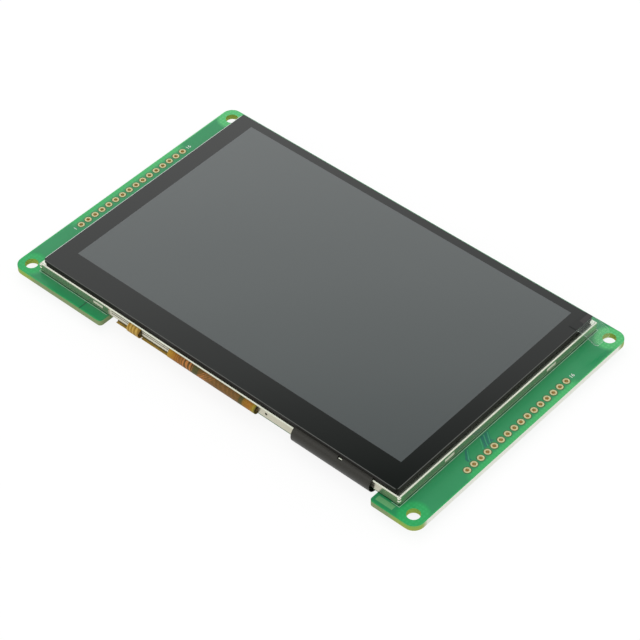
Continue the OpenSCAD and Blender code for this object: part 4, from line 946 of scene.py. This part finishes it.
# A pillow of solder under the toe of each lead of the chips.
LAND_HALF, LAND_SPREAD, LAND_BACK, LAND_HEIGHT = 0.42, 0.04, 0.1, 0.09
lands = []
for lead_node, chips in (
        ("display_controller_leads", ("display_controller",)),
        ("small_chip_leads", ("boost_converters", "voltage_regulator"))):
    bodies = [island for chip in chips for island in islands(chip)]
    for lead in islands(lead_node):
        size = (lead[1] - lead[0])[:2]
        quarter = quarter_turns(from_nearest(lead, bodies), size[0] > size[1])
        toe = middle_of(lead) + np.array(WAYS[quarter]) * (max(size) / 2 - LAND_BACK)
        half = np.array([LAND_HALF, min(size) / 2 + LAND_SPREAD])
        lands.append((
            (*(toe - half), BOARD_LOW - LAND_HEIGHT), (*(toe + half), BOARD_LOW + SUNK),
            quarter * math.pi / 2))
set_blocks("lead_lands", SOLDER, "solder", lands, "all", 0.3, 2)

# Polished dimple that marks pin one in the controller's moulding: smoother than the epoxy round it.
DIMPLE = solid_finish("polished_epoxy_dimple", "#232323", "#343434", 0.22, 3, 0.002)
DIMPLE_INSET = 1.3
chip_low, chip_high = corners("display_controller")
dimple = (chip_low[0] + DIMPLE_INSET, chip_high[1] - DIMPLE_INSET)
settle(cups([dimple], chip_low[2] - 0.005, 0.55, 0.08), "pin_one_dimple", DIMPLE)

# Tracks under the mask: two fans of eight that run from the controller to the header rows. They
# turn at a slope of one in one, and stop at the ring of their pin.
FAN = 8
LANE_PITCH, RIGHT_LANE_PITCH = 0.5, 0.55
FIRST_LANE, RIGHT_FIRST_LANE = chip_low[1] + 5.25, chip_low[1] - 1.6
TURN_X, RING_X = HEADER_X - 1.5, HEADER_X - 0.85
LEAD_X, LEAD_CORNER = chip_high[0] - 0.5, 0.3
fan = []
for k in range(FAN):
    pin = (k + 0.5) * PITCH
    lane = FIRST_LANE + LANE_PITCH * k
    slope = abs(pin - lane)
    fan.append(([
        (chip_low[0] - 1.3, lane), (slope - TURN_X, lane), (-TURN_X, pin), (-RING_X, pin)], False))
    lane = RIGHT_FIRST_LANE - RIGHT_LANE_PITCH * k
    lead_x = LEAD_X - LANE_PITCH * k
    slope = abs(-pin - lane)
    fan.append(([
        (lead_x, chip_low[1] - 1.2), (lead_x, lane + LEAD_CORNER), (lead_x + LEAD_CORNER, lane),
        (TURN_X - slope, lane), (TURN_X, -pin), (RING_X, -pin)], False))
# Solder mask stretched thin over long tracks: a lighter, glossy green than the pour round them.
UNDER_TRACK = solid_finish("green_mask_on_long_track", "#46b87c", "#5cc68d", 0.3, 0.5, 0.004)
settle([strokes(fan, 0.3, 0.05, BOARD_LOW - 0.005)], "underside_tracks", UNDER_TRACK)

# Tinned vias that stitch the two copper faces together, with none at the front cut-outs.
LONG_ROW, SHORT_ROW, INNER_ROW = range(-58, 59, 8), range(-28, 29, 8), range(-24, 40, 8)
VIA_X, VIA_Y, INNER_YS = HALF_X - 6.2, HALF_Y - 3.2, (-19, 21.5)
CUT_OUTS = (-40, 57)
stitches = [(x, side * VIA_Y) for x in LONG_ROW for side in (-1, 1)
            if side > 0 or not CUT_OUTS[0] < x < CUT_OUTS[1]]
stitches += [(side * VIA_X, y) for y in SHORT_ROW for side in (-1, 1)]
stitches += [(x, y) for x in INNER_ROW for y in INNER_YS]
settle(cups(stitches, BOARD_LOW - 0.01, 0.32, 0.14), "stitching_vias", TIN)

# Legend on the underside: an outline round each part, polarity bars, the controller's corners and
# the numbers at the rows' ends.
MARGIN = 0.45
BAR_GAP = 0.35
CORNER_GAP, CORNER_ARM = 1.6, 1.1
outlines = []
for body_node, capped in (
        ("ceramic_capacitors", True), ("chip_resistors", True), ("power_inductors", False),
        ("rectifier_diodes", True), ("bulk_capacitors", True), ("boost_converters", False),
        ("voltage_regulator", False), ("crystal_base", False)):
    grow = FILLET_REACH + MARGIN if capped else MARGIN
    for (x0, y0, _), (x1, y1, _) in islands(body_node):
        x0, x1, y0, y1 = x0 - grow, x1 + grow, y0 - MARGIN, y1 + MARGIN
        outlines.append(([(x0, y0), (x1, y0), (x1, y1), (x0, y1)], True))
for part_low, part_high in islands("rectifier_diodes") + islands("bulk_capacitors"):
    bar_x = part_low[0] - FILLET_REACH - MARGIN - BAR_GAP
    outlines.append(([(bar_x, part_low[1] - MARGIN), (bar_x, part_high[1] + MARGIN)], False))
for x, way_x in ((chip_low[0] - CORNER_GAP, 1), (chip_high[0] + CORNER_GAP, -1)):
    for y, way_y in ((chip_low[1] - CORNER_GAP, 1), (chip_high[1] + CORNER_GAP, -1)):
        outlines.append(([(x + CORNER_ARM * way_x, y), (x, y), (x, y + CORNER_ARM * way_y)], False))
settle([strokes(outlines, 0.15, 0.02, BOARD_LOW - 0.004)] + [
    number(body, x, y, True) for x in (-HEADER_X, HEADER_X) for body, y in END_NUMBERS
], "underside_legend", BRIGHT_LEGEND)
